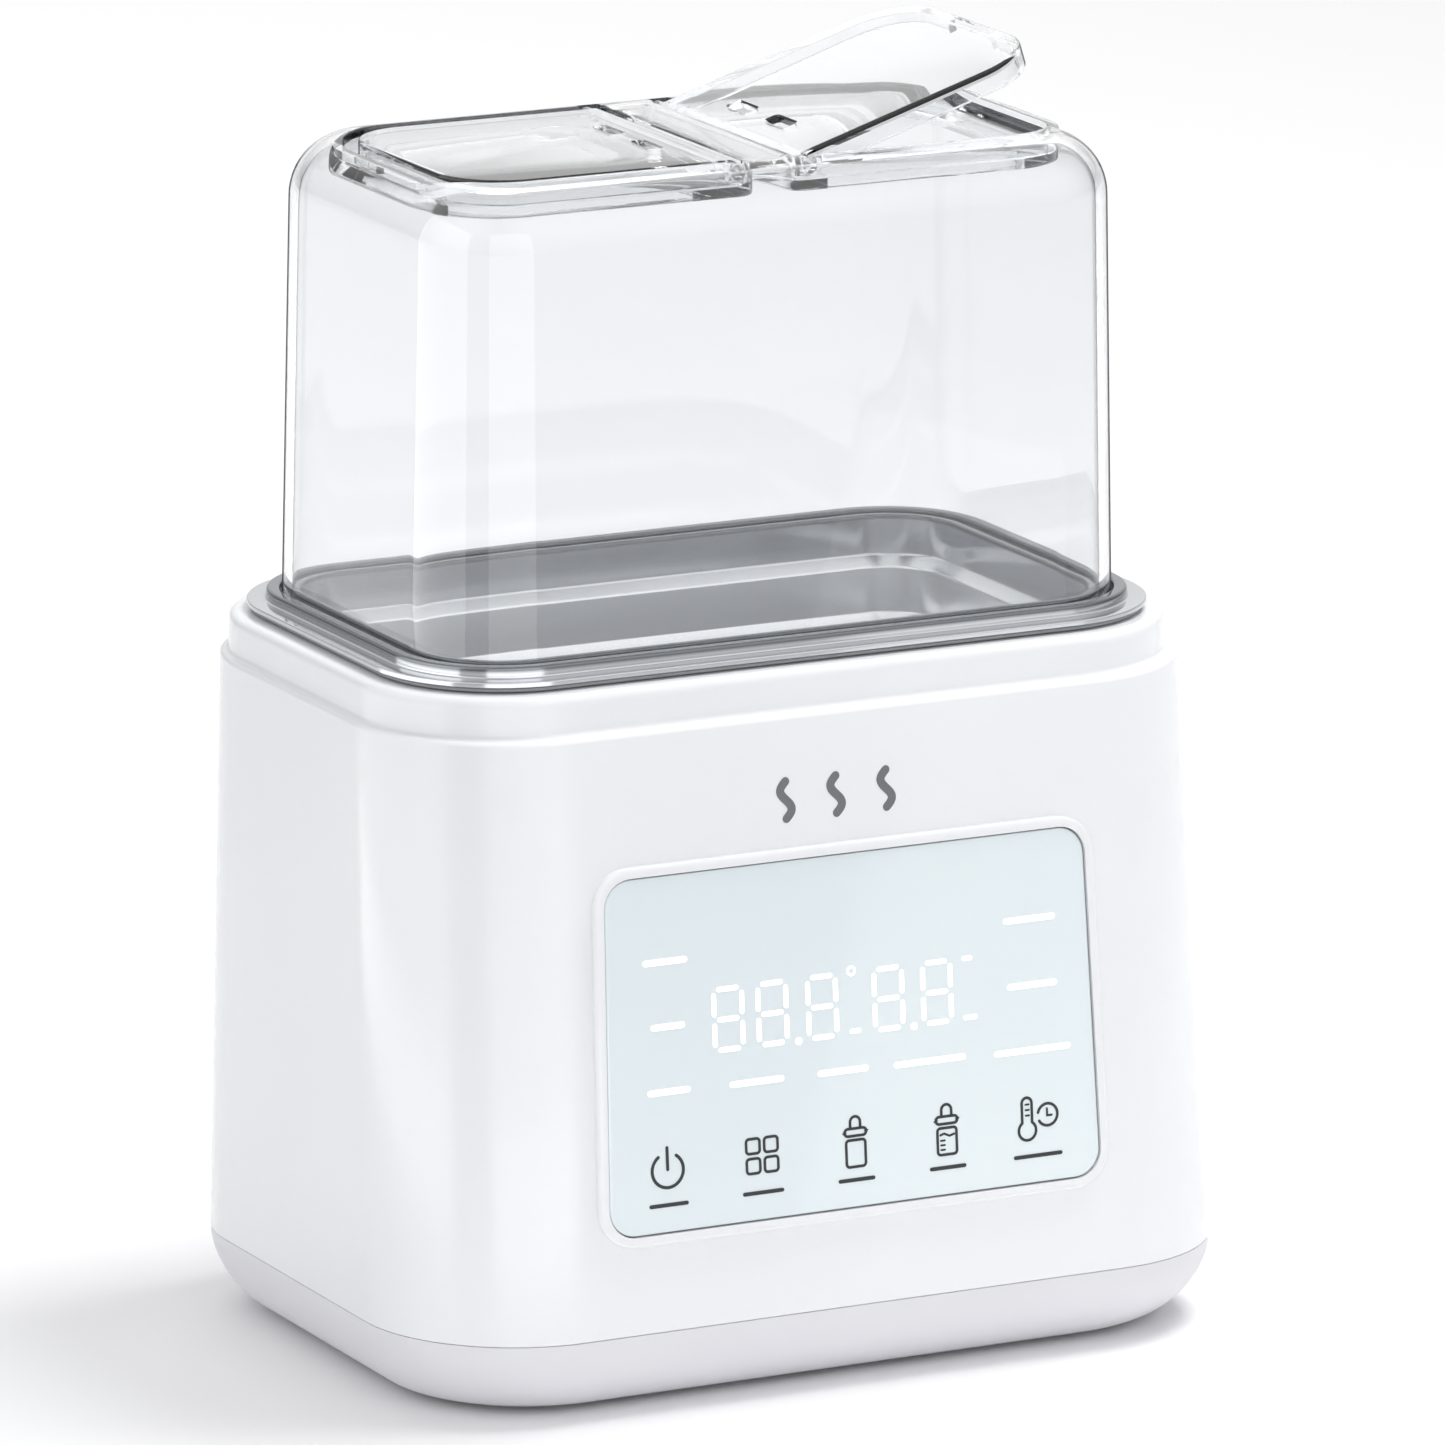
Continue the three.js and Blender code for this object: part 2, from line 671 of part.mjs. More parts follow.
// A lid about its hinge axis: the axis is x = 0, z = 0, along y, and the free end is at +x.
function lid() {
  const outline = (shrink, start) => {
    const round = Math.max(hatchCorner - lidSideGap - shrink, 1);
    const half = lidHalfDepth - shrink;
    return roundedShape([
      [lidLength - shrink, -half, round],
      [lidLength - shrink, half, round],
      [start, half, 0.5],
      [start, -half, 0.5],
    ]);
  };
  const skirtBottom = seatTop + slideGap - hingeHeight;
  const plateBottom = barrelRadius - lidThickness;
  const barrel = new THREE.CylinderGeometry(barrelRadius, barrelRadius, 2 * lidHalfDepth, 16);
  const pinLength = 2 * (lidHalfDepth + lidSideGap + hatchWall);
  const pins = new THREE.CylinderGeometry(lidPinRadius, lidPinRadius, pinLength, 12);
  const body = join(slab(outline(0, 0), skirtBottom, barrelRadius), barrel, pins);
  const hollow = slab(outline(lidSkirtWall, barrelRadius), skirtBottom - 1, plateBottom);
  const underBarrel = box(2 * barrelRadius, 2 * (lidHalfDepth - lidSkirtWall), 10, 0, 0, -barrelRadius - 10);
  const vents = [-1, 1].map((side) => {
    const y = (side * ventSpacing) / 2;
    const [halfX, halfY] = [ventWidth / 2, ventLength / 2];
    const shape = rectangle(ventFromHinge - halfX, ventFromHinge + halfX, y - halfY, y + halfY, 1);
    return slab(shape, plateBottom - 1, barrelRadius + 1);
  });
  const notch = box(
    3 * lidSkirtWall,
    fingerNotchWidth,
    fingerNotchHeight + 1,
    lidLength,
    0,
    skirtBottom - 1,
  );
  return toGeometry(cut(body, hollow, underBarrel, notch, ...vents));
}

// ---- Panel parts, in the panel's own plane ---------------------------------------------------

const glassBack = glassProud - glassThickness;
const guideFront = glassBack - slideGap;
const guideBack = guideFront - guideThickness;
const boardBack = guideBack - slideGap - boardThickness;
const guideHalfWidth = windowHalfWidth - glassTaper - guideMargin;
const keyPitch = (windowHalfWidth - keyEdgeMargin) / ((keyCount - 1) / 2);

function lightGuideBlock() {
  const bottom = keyPadRadius + guideAboveKeys - keyBelowMiddle;
  const outline = rectangle(-guideHalfWidth, guideHalfWidth, bottom, windowTop - guideMargin, 2);
  const hole = slab(digitOutline(slideGap), guideBack - 1, guideFront + 1);
  return toGeometry(cut(slab(outline, guideBack, guideFront), hole));
}

function digitOutline(grow) {
  const halfWidth = guideHalfWidth - digitBlock.sideMargin + grow;
  const halfHeight = digitBlock.height / 2 + grow;
  return rectangle(-halfWidth, halfWidth, digitBlock.middle - halfHeight, digitBlock.middle + halfHeight, 1);
}

// ---- Heater ----------------------------------------------------------------------------------

function heaterTube() {
  const half = cutout.radius + heaterTubeClearance + heaterTubeRadius;
  const bend = plateHalfX - heaterTubeEndMargin - half;
  const open = -plateHalfX - heaterTubeOverhang;
  const path = new THREE.CurvePath();
  const arcSteps = 8;
  const points = [new THREE.Vector3(open, -half, 0)];
  for (let i = 0; i <= arcSteps; i++) {
    const angle = -Math.PI / 2 + (i / arcSteps) * Math.PI;
    points.push(new THREE.Vector3(bend + half * Math.cos(angle), half * Math.sin(angle), 0));
  }
  points.push(new THREE.Vector3(open, half, 0));
  points.slice(1).forEach((point, i) => path.add(new THREE.LineCurve3(points[i], point)));
  const section = new THREE.Shape().absarc(0, 0, heaterTubeRadius, 0, 2 * Math.PI);
  const settings = { steps: 28, extrudePath: path, bevelEnabled: false, curveSegments: 5 };
  return new THREE.ExtrudeGeometry(section, settings).translate(0, middleY, tubeHeight);
}

function heaterBracket() {
  const front = bracketScrewY.front - bracketEnd;
  const back = bracketScrewY.rear + bracketEnd;
  const strap = slab(
    rectangle(-bracketWidth / 2, bracketWidth / 2, front, back, 3),
    bracketTop - bracketThickness,
    bracketTop,
  );
  const holes = Object.values(bracketScrewY).map((y) =>
    upright(screwShank + threadGap, bracketThickness + 2, 0, y, bracketTop - bracketThickness - 1, 12),
  );
  return toGeometry(cut(strap, ...holes));
}

// ---- Power electronics -------------------------------------------------------------------------

const boardBottom = footHeight + trayWall + powerBoard.lift + slideGap;
const boardTop = boardBottom + boardThickness;

function boardCorners() {
  const x = powerBoard.width / 2 - postInset;
  const y = powerBoard.depth / 2 - postInset;
  return [
    [-x, -y],
    [x, -y],
    [-x, y],
    [x, y],
  ];
}

function capacitor() {
  const { radius, height, groove, top } = capacitorSize;
  const profile = [
    [0, 0],
    [radius, 0],
    [radius, height - top],
    [radius - groove, height - top + groove / 2],
    [radius - groove, height],
    [0, height],
  ].map(([r, z]) => new THREE.Vector2(r, z));
  return new THREE.LatheGeometry(profile, 16).rotateX(Math.PI / 2);
}

function transformer() {
  const core = box(...transformerSize.core, 0, 0, transformerSize.coreLift);
  const bobbin = box(...transformerSize.bobbin, 0, 0, 0);
  return toGeometry(join(core, bobbin));
}

function fuse() {
  return new THREE.CylinderGeometry(fuseSize.radius, fuseSize.radius, fuseSize.length, 12)
    .rotateZ(Math.PI / 2)
    .translate(0, 0, fuseSize.radius);
}

const inletFace = bodyDepth / 2 + slideGap; // behind the inlet's outer flange

function powerInlet() {
  const { width, height, depth } = inletOpening;
  const body = box(width - 2 * slideGap, depth, height - 2 * slideGap, 0, -depth / 2, slideGap - height / 2);
  const plate = box(
    width + 2 * inletFlange.grow,
    inletFlange.thickness,
    height + 2 * inletFlange.grow,
    0,
    inletFlange.thickness / 2,
    -height / 2 - inletFlange.grow,
  );
  const socket = box(
    width - 2 * slideGap - 2 * inletWall,
    depth,
    height - 2 * slideGap - 2 * inletWall,
    0,
    -depth / 2 + inletWall,
    slideGap + inletWall - height / 2,
  ).translate(0, inletFlange.thickness, 0);
  const slot = bladeThickness + 2 * slideGap;
  const slots = [-1, 1].map((side) => box(slot, depth * 2, slot, (side * bladeSpacing) / 2, 0, -slot / 2));
  return toGeometry(cut(join(body, plate), socket, ...slots));
}

// ---- Assembly ------------------------------------------------------------------------------------

function finish(color, roughness, metalness = 0, opacity = 1) {
  return new THREE.MeshStandardMaterial({ color, roughness, metalness, opacity, transparent: opacity < 1 });
}
const whiteAbs = finish("#f1f2f4", 0.25);
const greyAbs = finish("#d9d9df", 0.5);
const rubber = finish("#3a3a3c", 0.8);
const steel = finish("#b9bbbd", 0.22, 1);
const silicone = finish("#55575a", 0.6);
const clearPlastic = finish("#eef3f5", 0.05, 0, 0.25);
const panelGlass = finish("#dfe9ec", 0.08);
const milkyPlastic = finish("#f4f6f6", 0.4);
const castAluminium = finish("#a5a8ab", 0.45, 1);
const zincSteel = finish("#c3c6c9", 0.35, 1);
const circuitGreen = finish("#1f6b45", 0.5);
const blackPlastic = finish("#1d1e20", 0.45);
const brass = finish("#c9a65a", 0.3, 1);
const blueSleeve = finish("#2a4f8f", 0.4);
const ceramic = finish("#e9e6df", 0.5);

const sterilizer = new THREE.Group();

function add(name, geometry, material, parent = sterilizer) {
  const mesh = new THREE.Mesh(geometry, material);
  mesh.name = name;
  parent.add(mesh);
  return mesh;
}

add("housing_shell", housingShell(), whiteAbs);
add("base_cover", baseCover(), greyAbs);
for (const one of feet) add(one.name, foot(one), rubber);
for (const { name, x, y } of columns) {
  const mesh = add("base_screw_" + name, screw(baseScrewLength - 2), zincSteel);
  mesh.position.set(x, y, footHeight + screwHeadHeight + 1 - slideGap);
}

add("steel_basin", steelBasin(), steel);
add("basin_gasket", basinGasket(), silicone);
add("bottle_rack", bottleRack(), milkyPlastic);

add("clear_hood", hoodShell(), clearPlastic);
const lidSides = [
  { name: "left_lid", side: -1, angle: 0 },
  { name: "right_lid", side: 1, angle: lidOpenAngle },
];
for (const { name, side, angle } of lidSides) {
  const hinge = new THREE.Group();
  hinge.position.set(side * hingeX, hatchMiddleY, hingeHeight);
  hinge.rotation.set(0, THREE.MathUtils.degToRad(-side * angle), side < 0 ? Math.PI : 0);
  add(name, lid(), clearPlastic, hinge);
  sterilizer.add(hinge);
}

const panel = new THREE.Group();
panel.applyMatrix4(panelPlace);
sterilizer.add(panel);
add("touch_glass", slab(glassOutline(0), glassBack, glassProud), panelGlass, panel);
add("light_guide", lightGuideBlock(), milkyPlastic, panel);
add("digit_display", slab(digitOutline(0), guideBack, guideFront), blackPlastic, panel);
const displayBoard = slab(glassOutline(-boardMargin), boardBack, boardBack + boardThickness);
add("display_board", displayBoard, circuitGreen, panel);
for (let key = 0; key < keyCount; key++) {
  const x = (key - (keyCount - 1) / 2) * keyPitch;
  const pad = upright(keyPadRadius, guideThickness, x, -keyBelowMiddle, guideBack);
  add("touch_pad_" + (key + 1), pad, blackPlastic, panel);
}
const buzzerBack = boardBack - slideGap - buzzer.height;
add("buzzer", upright(buzzer.radius, buzzer.height, buzzer.x, buzzer.y, buzzerBack, 20), blackPlastic, panel);

const plateShape = rectangle(
  -plateHalfX,
  plateHalfX,
  middleY - plateHalfY,
  middleY + plateHalfY,
  heaterPlate.corner,
);
add("heating_plate", slab(plateShape, plateBottom, plateBottom + heaterPlate.thickness), castAluminium);
add("heater_tube", heaterTube(), zincSteel);
add("heater_bracket", heaterBracket(), zincSteel);
for (const [end, y] of Object.entries(bracketScrewY)) {
  const mesh = add("bracket_screw_" + end, screw(bracketScrewLength), zincSteel);
  mesh.rotation.x = Math.PI;
  mesh.position.set(0, y, bracketTop + slideGap);
}
const underPlate = plateBottom - slideGap;
const underThePlate = ({ radius, height }, x) => upright(radius, height, x, middleY, underPlate - height, 20);
add("thermal_cutout", underThePlate(cutout, cutout.fromEnd - plateHalfX), ceramic);
add("temperature_sensor", underThePlate(sensor, plateHalfX - sensor.fromEnd), brass);

const boardShape = rectangle(
  -powerBoard.width / 2,
  powerBoard.width / 2,
  -powerBoard.depth / 2,
  powerBoard.depth / 2,
  boardCorner,
);
add("power_board", slab(boardShape, boardBottom, boardTop), circuitGreen);
const onBoard = boardTop + slideGap;
add("transformer", transformer(), blackPlastic).position.set(...transformerSize.at, onBoard);
add("relay", box(...relaySize.body, 0, 0, 0), blueSleeve).position.set(...relaySize.at, onBoard);
add("smoothing_capacitor", capacitor(), blackPlastic).position.set(...capacitorSize.at, onBoard);
add("mains_fuse", fuse(), ceramic).position.set(...fuseSize.at, onBoard);

add("power_inlet", powerInlet(), blackPlastic).position.set(inletX, inletFace, inletOpening.z);
for (const [name, side] of [
  ["inlet_blade_left", -1],
  ["inlet_blade_right", 1],
]) {
  const { depth, z } = inletOpening;
  const y = -depth / 2 - bladeRecess;
  const blade = box(bladeThickness, depth, bladeThickness, (side * bladeSpacing) / 2, y, -bladeThickness / 2);
  add(name, blade, brass).position.set(inletX, inletFace, z);
}

// The origin is under the middle of the whole object.
sterilizer.updateMatrixWorld(true);
const whole = new THREE.Box3().setFromObject(sterilizer, true);
sterilizer.position.set(-(whole.min.x + whole.max.x) / 2, -(whole.min.y + whole.max.y) / 2, -whole.min.z);

export default sterilizer;
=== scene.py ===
import json
import math

import bmesh
import bpy
from mathutils import Matrix, Vector


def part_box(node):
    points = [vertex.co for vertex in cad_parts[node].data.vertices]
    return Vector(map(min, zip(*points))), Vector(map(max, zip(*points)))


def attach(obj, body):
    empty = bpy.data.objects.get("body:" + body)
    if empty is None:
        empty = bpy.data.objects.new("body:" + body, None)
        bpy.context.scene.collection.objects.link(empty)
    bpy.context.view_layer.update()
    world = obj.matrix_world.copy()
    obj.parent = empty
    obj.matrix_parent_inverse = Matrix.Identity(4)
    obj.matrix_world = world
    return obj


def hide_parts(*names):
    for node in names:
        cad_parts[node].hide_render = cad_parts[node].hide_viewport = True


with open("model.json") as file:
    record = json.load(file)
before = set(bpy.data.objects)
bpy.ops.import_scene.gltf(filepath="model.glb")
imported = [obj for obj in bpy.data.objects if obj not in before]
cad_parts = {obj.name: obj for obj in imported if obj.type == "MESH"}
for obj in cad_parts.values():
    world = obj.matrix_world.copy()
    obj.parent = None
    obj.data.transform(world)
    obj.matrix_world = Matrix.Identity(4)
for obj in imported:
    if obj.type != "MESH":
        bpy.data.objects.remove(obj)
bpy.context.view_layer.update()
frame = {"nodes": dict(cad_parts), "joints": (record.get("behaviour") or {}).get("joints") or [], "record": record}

mm = 0.001

# Sizes from the frame

casingLow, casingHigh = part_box("housing_shell")
trayLow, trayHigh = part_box("base_cover")
bathLow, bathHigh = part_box("steel_basin")
gasketLow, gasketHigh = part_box("basin_gasket")
hoodLow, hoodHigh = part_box("clear_hood")
rackLow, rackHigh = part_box("bottle_rack")
glassLow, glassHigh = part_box("touch_glass")
inletLow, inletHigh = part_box("power_inlet")
joints = {joint["name"]: joint for joint in frame["joints"]}


# Mesh tools

def roundedOutline(corners, steps=16):
    # A polygon with each corner (x, y, radius) rounded, anticlockwise.
    points = []
    count = len(corners)
    for i, (x, y, radius) in enumerate(corners):
        here = Vector((x, y))
        before = (Vector(corners[i - 1][:2]) - here).normalized()
        after = (Vector(corners[(i + 1) % count][:2]) - here).normalized()
        half = before.angle(after) / 2
        reach = radius / math.tan(half)
        centre = here + (before + after).normalized() * (radius / math.sin(half))
        first = here + before * reach - centre
        last = here + after * reach - centre
        turn = first.angle_signed(last) if radius > 0 else 0
        for step in range(steps + 1):
            spin = Matrix.Rotation(-turn * step / steps, 2)
            points.append(centre + spin @ first)
    return points


def roundedBox(halfX, front, back, radius, steps=16):
    corners = [(halfX, front, radius), (halfX, back, radius), (-halfX, back, radius), (-halfX, front, radius)]
    return roundedOutline(corners, steps)


def filletPath(points, steps=5):
    # A section line (u, z, radius) with its corners rounded, as a list of (u, z).
    path = []
    for i, (u, z, radius) in enumerate(points):
        if radius <= 0 or i in (0, len(points) - 1):
            path.append((u, z))
            continue
        here = Vector((u, z))
        before = Vector(points[i - 1][:2]) - here
        after = Vector(points[i + 1][:2]) - here
        half = before.angle(after) / 2
        reach = min(radius / math.tan(half), before.length * 0.49, after.length * 0.49)
        start = here + before.normalized() * reach
        end = here + after.normalized() * reach
        for step in range(steps + 1):
            t = step / steps
            path.append(tuple(start * (1 - t) ** 2 + here * 2 * t * (1 - t) + end * t ** 2))
    return path


def makeObject(name, vertices, faces):
    mesh = bpy.data.meshes.new(name)
    mesh.from_pydata([tuple(v) for v in vertices], [], faces)
    mesh.validate()
    made = bmesh.new()
    made.from_mesh(mesh)
    bmesh.ops.remove_doubles(made, verts=made.verts, dist=1e-7)
    bmesh.ops.recalc_face_normals(made, faces=made.faces)
    made.to_mesh(mesh)
    made.free()
    piece = bpy.data.objects.new(name, mesh)
    bpy.context.scene.collection.objects.link(piece)
    return piece


def loft(name, loops, closed=False):
    # A skin through loops of equal length: open ones end in caps, and a closed one joins last to first.
    count = len(loops[0])
    vertices = [point for loop in loops for point in loop]
    faces = []
    for i in range(len(loops) if closed else len(loops) - 1):
        lower = i * count
        upper = ((i + 1) % len(loops)) * count
        for k in range(count):
            following = (k + 1) % count
            faces.append((lower + k, lower + following, upper + following, upper + k))
    if not closed:
        faces.append(tuple(reversed(range(count))))
        faces.append(tuple(range((len(loops) - 1) * count, len(loops) * count)))
    return makeObject(name, vertices, faces)


def prism(name, outline, path):
    # outline(grow) gives points in a plane, and path gives (grow, height) pairs: all in millimetres.
    loops = [[Vector((p[0], p[1], height)) * mm for p in outline(grow)] for grow, height in path]
    return loft(name, loops)


def lathe(name, path, steps=40):
    return prism(name, lambda radius: circle(radius, steps), path)


def circle(radius, steps=40):
    return [(radius * math.cos(2 * math.pi * k / steps), radius * math.sin(2 * math.pi * k / steps))
            for k in range(steps)]


def place(piece, matrix):
    piece.data.transform(matrix)
    return piece


def applyModifiers(piece):
    bpy.context.view_layer.update()
    depsgraph = bpy.context.evaluated_depsgraph_get()
    made = bpy.data.meshes.new_from_object(piece.evaluated_get(depsgraph))
    piece.modifiers.clear()
    piece.data = made
    return piece


def combine(piece, tools, operation):
    for tool in tools:
        step = piece.modifiers.new("combine", "BOOLEAN")
        step.operation = operation
        step.solver = "EXACT"
        step.object = tool
    applyModifiers(piece)
    for tool in tools:
        bpy.data.objects.remove(tool)
    return piece


def cut(piece, *tools):
    return combine(piece, tools, "DIFFERENCE")


def join(piece, *tools):
    return combine(piece, tools, "UNION")


def smooth(piece, angle=32):
    piece.data.shade_smooth()
    piece.data.set_sharp_from_angle(angle=math.radians(angle))
    return piece


def finishPiece(piece, material, body, slot, *nodes, angle=32):
    smooth(piece, angle)
    piece.data.materials.clear()
    piece.data.materials.append(material)
    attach(piece, body)
    if nodes:
        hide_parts(*nodes)
    return piece


def shift(x, y, z):
    return Matrix.Translation(Vector((x, y, z)) * mm)


# Materials

def colour(hexCode):
    # sRGB hex to linear.
    parts = [int(hexCode[i:i + 2], 16) / 255 for i in (1, 3, 5)]
    linear = [c / 12.92 if c <= 0.04045 else ((c + 0.055) / 1.055) ** 2.4 for c in parts]
    return (*linear, 1.0)


def addNode(tree, kind, values=None, links=None, **settings):
    node = tree.nodes.new("ShaderNode" + kind)
    for key, value in settings.items():
        setattr(node, key, value)
    for socket, value in (values or {}).items():
        node.inputs[socket].default_value = value
    for socket, source in (links or {}).items():
        tree.links.new(source, node.inputs[socket])
    return node


def startMaterial(name, **values):
    material = bpy.data.materials.new(name)
    material.use_nodes = True
    tree = material.node_tree
    tree.nodes.clear()
    surface = addNode(tree, "BsdfPrincipled", values)
    output = addNode(tree, "OutputMaterial", links={"Surface": surface.outputs["BSDF"]})
    place = addNode(tree, "TexCoord").outputs["Object"]
    return material, tree, surface, output, place


def perMetre(sizeInMm):
    # The scale of a pattern whose features are this many millimetres across.
    return 1000 / sizeInMm


def mixColours(tree, factor, first, second):
    mixed = addNode(tree, "Mix", {"A": colour(first), "B": colour(second)}, {"Factor": factor},
                    data_type="RGBA")
    return mixed.outputs["Result"]


def addMottle(tree, place, sizeInMm, detail=2.0):
    return addNode(tree, "TexNoise", {"Scale": perMetre(sizeInMm), "Detail": detail},
                   {"Vector": place}).outputs["Fac"]


def spread(tree, source, low, high):
    return addNode(tree, "MapRange", {"To Min": low, "To Max": high}, {"Value": source}).outputs["Result"]


def addBump(tree, surface, height, depthInMm, strength=1.0):
    bump = addNode(tree, "Bump", {"Distance": depthInMm * mm, "Strength": strength}, {"Height": height})
    tree.links.new(bump.outputs["Normal"], surface.inputs["Normal"])


def mouldedPlastic(name, light, dark, roughness, grainMm, grainDepthMm, ior=1.53):
    # ABS or PP shot in a mould: even colour, and a skin as smooth or as grained as the tool was
    material, tree, surface, output, place = startMaterial(name, IOR=ior)
    tone = addMottle(tree, place, 45)
    tree.links.new(mixColours(tree, tone, dark, light), surface.inputs["Base Color"])
    grain = addMottle(tree, place, grainMm, 3.0)
    tree.links.new(spread(tree, grain, roughness[0], roughness[1]), surface.inputs["Roughness"])
    addBump(tree, surface, grain, grainDepthMm)
    return material


def clearPlastic(name, tint, paintedEdgeShade, roughness):
    # Tritan copolyester, moulded clear: almost unseen face on, with grey lines painted where the wall is seen edge on,
    # as painted shade for the dark edge lines of a real clear wall
    # its shine is that of the plastic, while a wall this thin hardly bends what is behind it
    material, tree, surface, output, place = startMaterial(name, IOR=1.18)
    surface.inputs["Transmission Weight"].default_value = 1.0
    surface.inputs["Coat Weight"].default_value = 1.0
    surface.inputs["Coat IOR"].default_value = 1.5
    surface.inputs["Base Color"].default_value = colour(tint)
    ripple = addMottle(tree, place, 40, 1.0)
    tree.links.new(spread(tree, ripple, roughness[0], roughness[1]), surface.inputs["Roughness"])
    addBump(tree, surface, ripple, 0.03)
    facing = addNode(tree, "LayerWeight", {"Blend": 0.5}).outputs["Facing"]
    edge = addNode(tree, "MapRange", {"From Min": 0.76, "From Max": 0.86, "To Max": 0.94}, {"Value": facing},
                   interpolation_type="SMOOTHSTEP").outputs["Result"]
    normal = addNode(tree, "SeparateXYZ", links={0: addNode(tree, "TexCoord").outputs["Normal"]}).outputs["Z"]
    level = addNode(tree, "Math", links={0: normal}, operation="ABSOLUTE").outputs["Value"]
    upright = addNode(tree, "MapRange", {"From Min": 0.5, "From Max": 0.9, "To Min": 1.0, "To Max": 0.0},
                      {"Value": level}).outputs["Result"]
    amount = addNode(tree, "Math", links={0: edge, 1: upright}, operation="MULTIPLY").outputs["Value"]
    # a flat grey painted over the wall where it is seen edge on: painted shade for its dark edge lines
    line = addNode(tree, "BsdfDiffuse", {"Color": colour(paintedEdgeShade)})
    wall = addNode(tree, "MixShader", links={0: amount, 1: surface.outputs[0], 2: line.outputs[0]})
    # lamps shine through it, as they do through the real wall
    shine = addNode(tree, "BsdfTransparent", {"Color": colour(tint)})
    path = addNode(tree, "LightPath").outputs["Is Shadow Ray"]
    mixed = addNode(tree, "MixShader", links={0: path, 1: wall.outputs[0], 2: shine.outputs[0]})
    tree.links.new(mixed.outputs["Shader"], output.inputs["Surface"])
    return material


def drawnSteel(name, light, dark, ring, polished, brushed, lineMm, brushedBelow, ringAbove):
    # 304 stainless, deep drawn: a bright rolled rim painted a darker grey, as painted shade for its darker reflection,
    #                            and walls brushed level so that reflections smear sideways
    material, tree, surface, output, place = startMaterial(name, Metallic=0.9)
    stretched = addNode(tree, "Mapping", {"Scale": (perMetre(40), perMetre(40), perMetre(lineMm))},
                        {"Vector": place}).outputs["Vector"]
    lines = addNode(tree, "TexNoise", {"Scale": 1.0, "Detail": 1.0}, {"Vector": stretched}).outputs["Fac"]
    height = addNode(tree, "SeparateXYZ", links={"Vector": place}).outputs["Z"]
    onRim = addNode(tree, "MapRange", {"From Min": (brushedBelow - 4) * mm, "From Max": brushedBelow * mm},
                    {"Value": height}).outputs["Result"]
    # near its top the rolled bead is painted dark: a painted reflection, standing in for the dark surroundings that the
    # bright steel mirrors there
    paintedRingReflection = addNode(tree, "MapRange", {"From Min": (ringAbove - 0.5) * mm, "From Max": (ringAbove + 0.2) * mm},
                     {"Value": height}).outputs["Result"]
    # above the brushed walls the rim takes the darker grey: painted shade, the same steel as the walls
    body = mixColours(tree, onRim, light, dark)
    tree.links.new(addNode(tree, "Mix", {7: colour(ring)}, {0: paintedRingReflection, 6: body}, data_type="RGBA").outputs[2],
                   surface.inputs["Base Color"])
    rim = addNode(tree, "MapRange", {"To Min": brushed, "To Max": polished}, {"Value": onRim}).outputs["Result"]
    finish = addNode(tree, "Math", {1: 0.06}, {0: lines, 2: rim}, operation="MULTIPLY_ADD").outputs["Value"]
    tree.links.new(finish, surface.inputs["Roughness"])
    addBump(tree, surface, lines, 0.0008)
    return material


def castMetal(name, light, dark, roughness, grainMm, grainDepthMm):
    # Cast or plated metal: a fine crystal grain that breaks up its shine
    material, tree, surface, output, place = startMaterial(name, Metallic=1.0)
    grain = addMottle(tree, place, grainMm, 3.0)
    tree.links.new(mixColours(tree, grain, dark, light), surface.inputs["Base Color"])
    tree.links.new(spread(tree, grain, roughness[0], roughness[1]), surface.inputs["Roughness"])
    addBump(tree, surface, grain, grainDepthMm)
    return material


def coatedGlass(name, light, dark):
    # Float glass painted pale blue behind: flat, wet-looking gloss over an even colour that shifts a little
    material, tree, surface, output, place = startMaterial(name, IOR=1.52)
    surface.inputs["Coat Weight"].default_value = 1.0
    surface.inputs["Coat Roughness"].default_value = 0.03
    tone = addMottle(tree, place, 90, 1.0)
    tree.links.new(mixColours(tree, tone, dark, light), surface.inputs["Base Color"])
    fine = addMottle(tree, place, 0.6)
    tree.links.new(spread(tree, fine, 0.12, 0.2), surface.inputs["Roughness"])
    return material


def printedInk(name, ink, glow):
    # Screen-printed enamel: matt, a hair proud of the glass, faintly uneven where the mesh left it
    material, tree, surface, output, place = startMaterial(name, IOR=1.5)
    mesh = addMottle(tree, place, 0.3)
    tree.links.new(mixColours(tree, mesh, ink, ink), surface.inputs["Base Color"])
    tree.links.new(spread(tree, mesh, 0.4, 0.55), surface.inputs["Roughness"])
    surface.inputs["Emission Color"].default_value = colour(ink)
    surface.inputs["Emission Strength"].default_value = glow
    return material


def circuitBoardMaterial(name):
    # FR-4 under green solder mask: copper tracks show through as lighter, raised lines
    material, tree, surface, output, place = startMaterial(name, IOR=1.55)
    tracks = addNode(tree, "TexVoronoi", {"Scale": perMetre(5)}, {"Vector": place}, distance="CHEBYCHEV",
                     feature="DISTANCE_TO_EDGE").outputs["Distance"]
    copper = addNode(tree, "MapRange", {"From Min": 0.03, "From Max": 0.07}, {"Value": tracks}).outputs["Result"]
    tree.links.new(mixColours(tree, copper, "#3f9a63", "#17603a"), surface.inputs["Base Color"])
    tree.links.new(spread(tree, copper, 0.25, 0.35), surface.inputs["Roughness"])
    addBump(tree, surface, copper, -0.03)
    return material


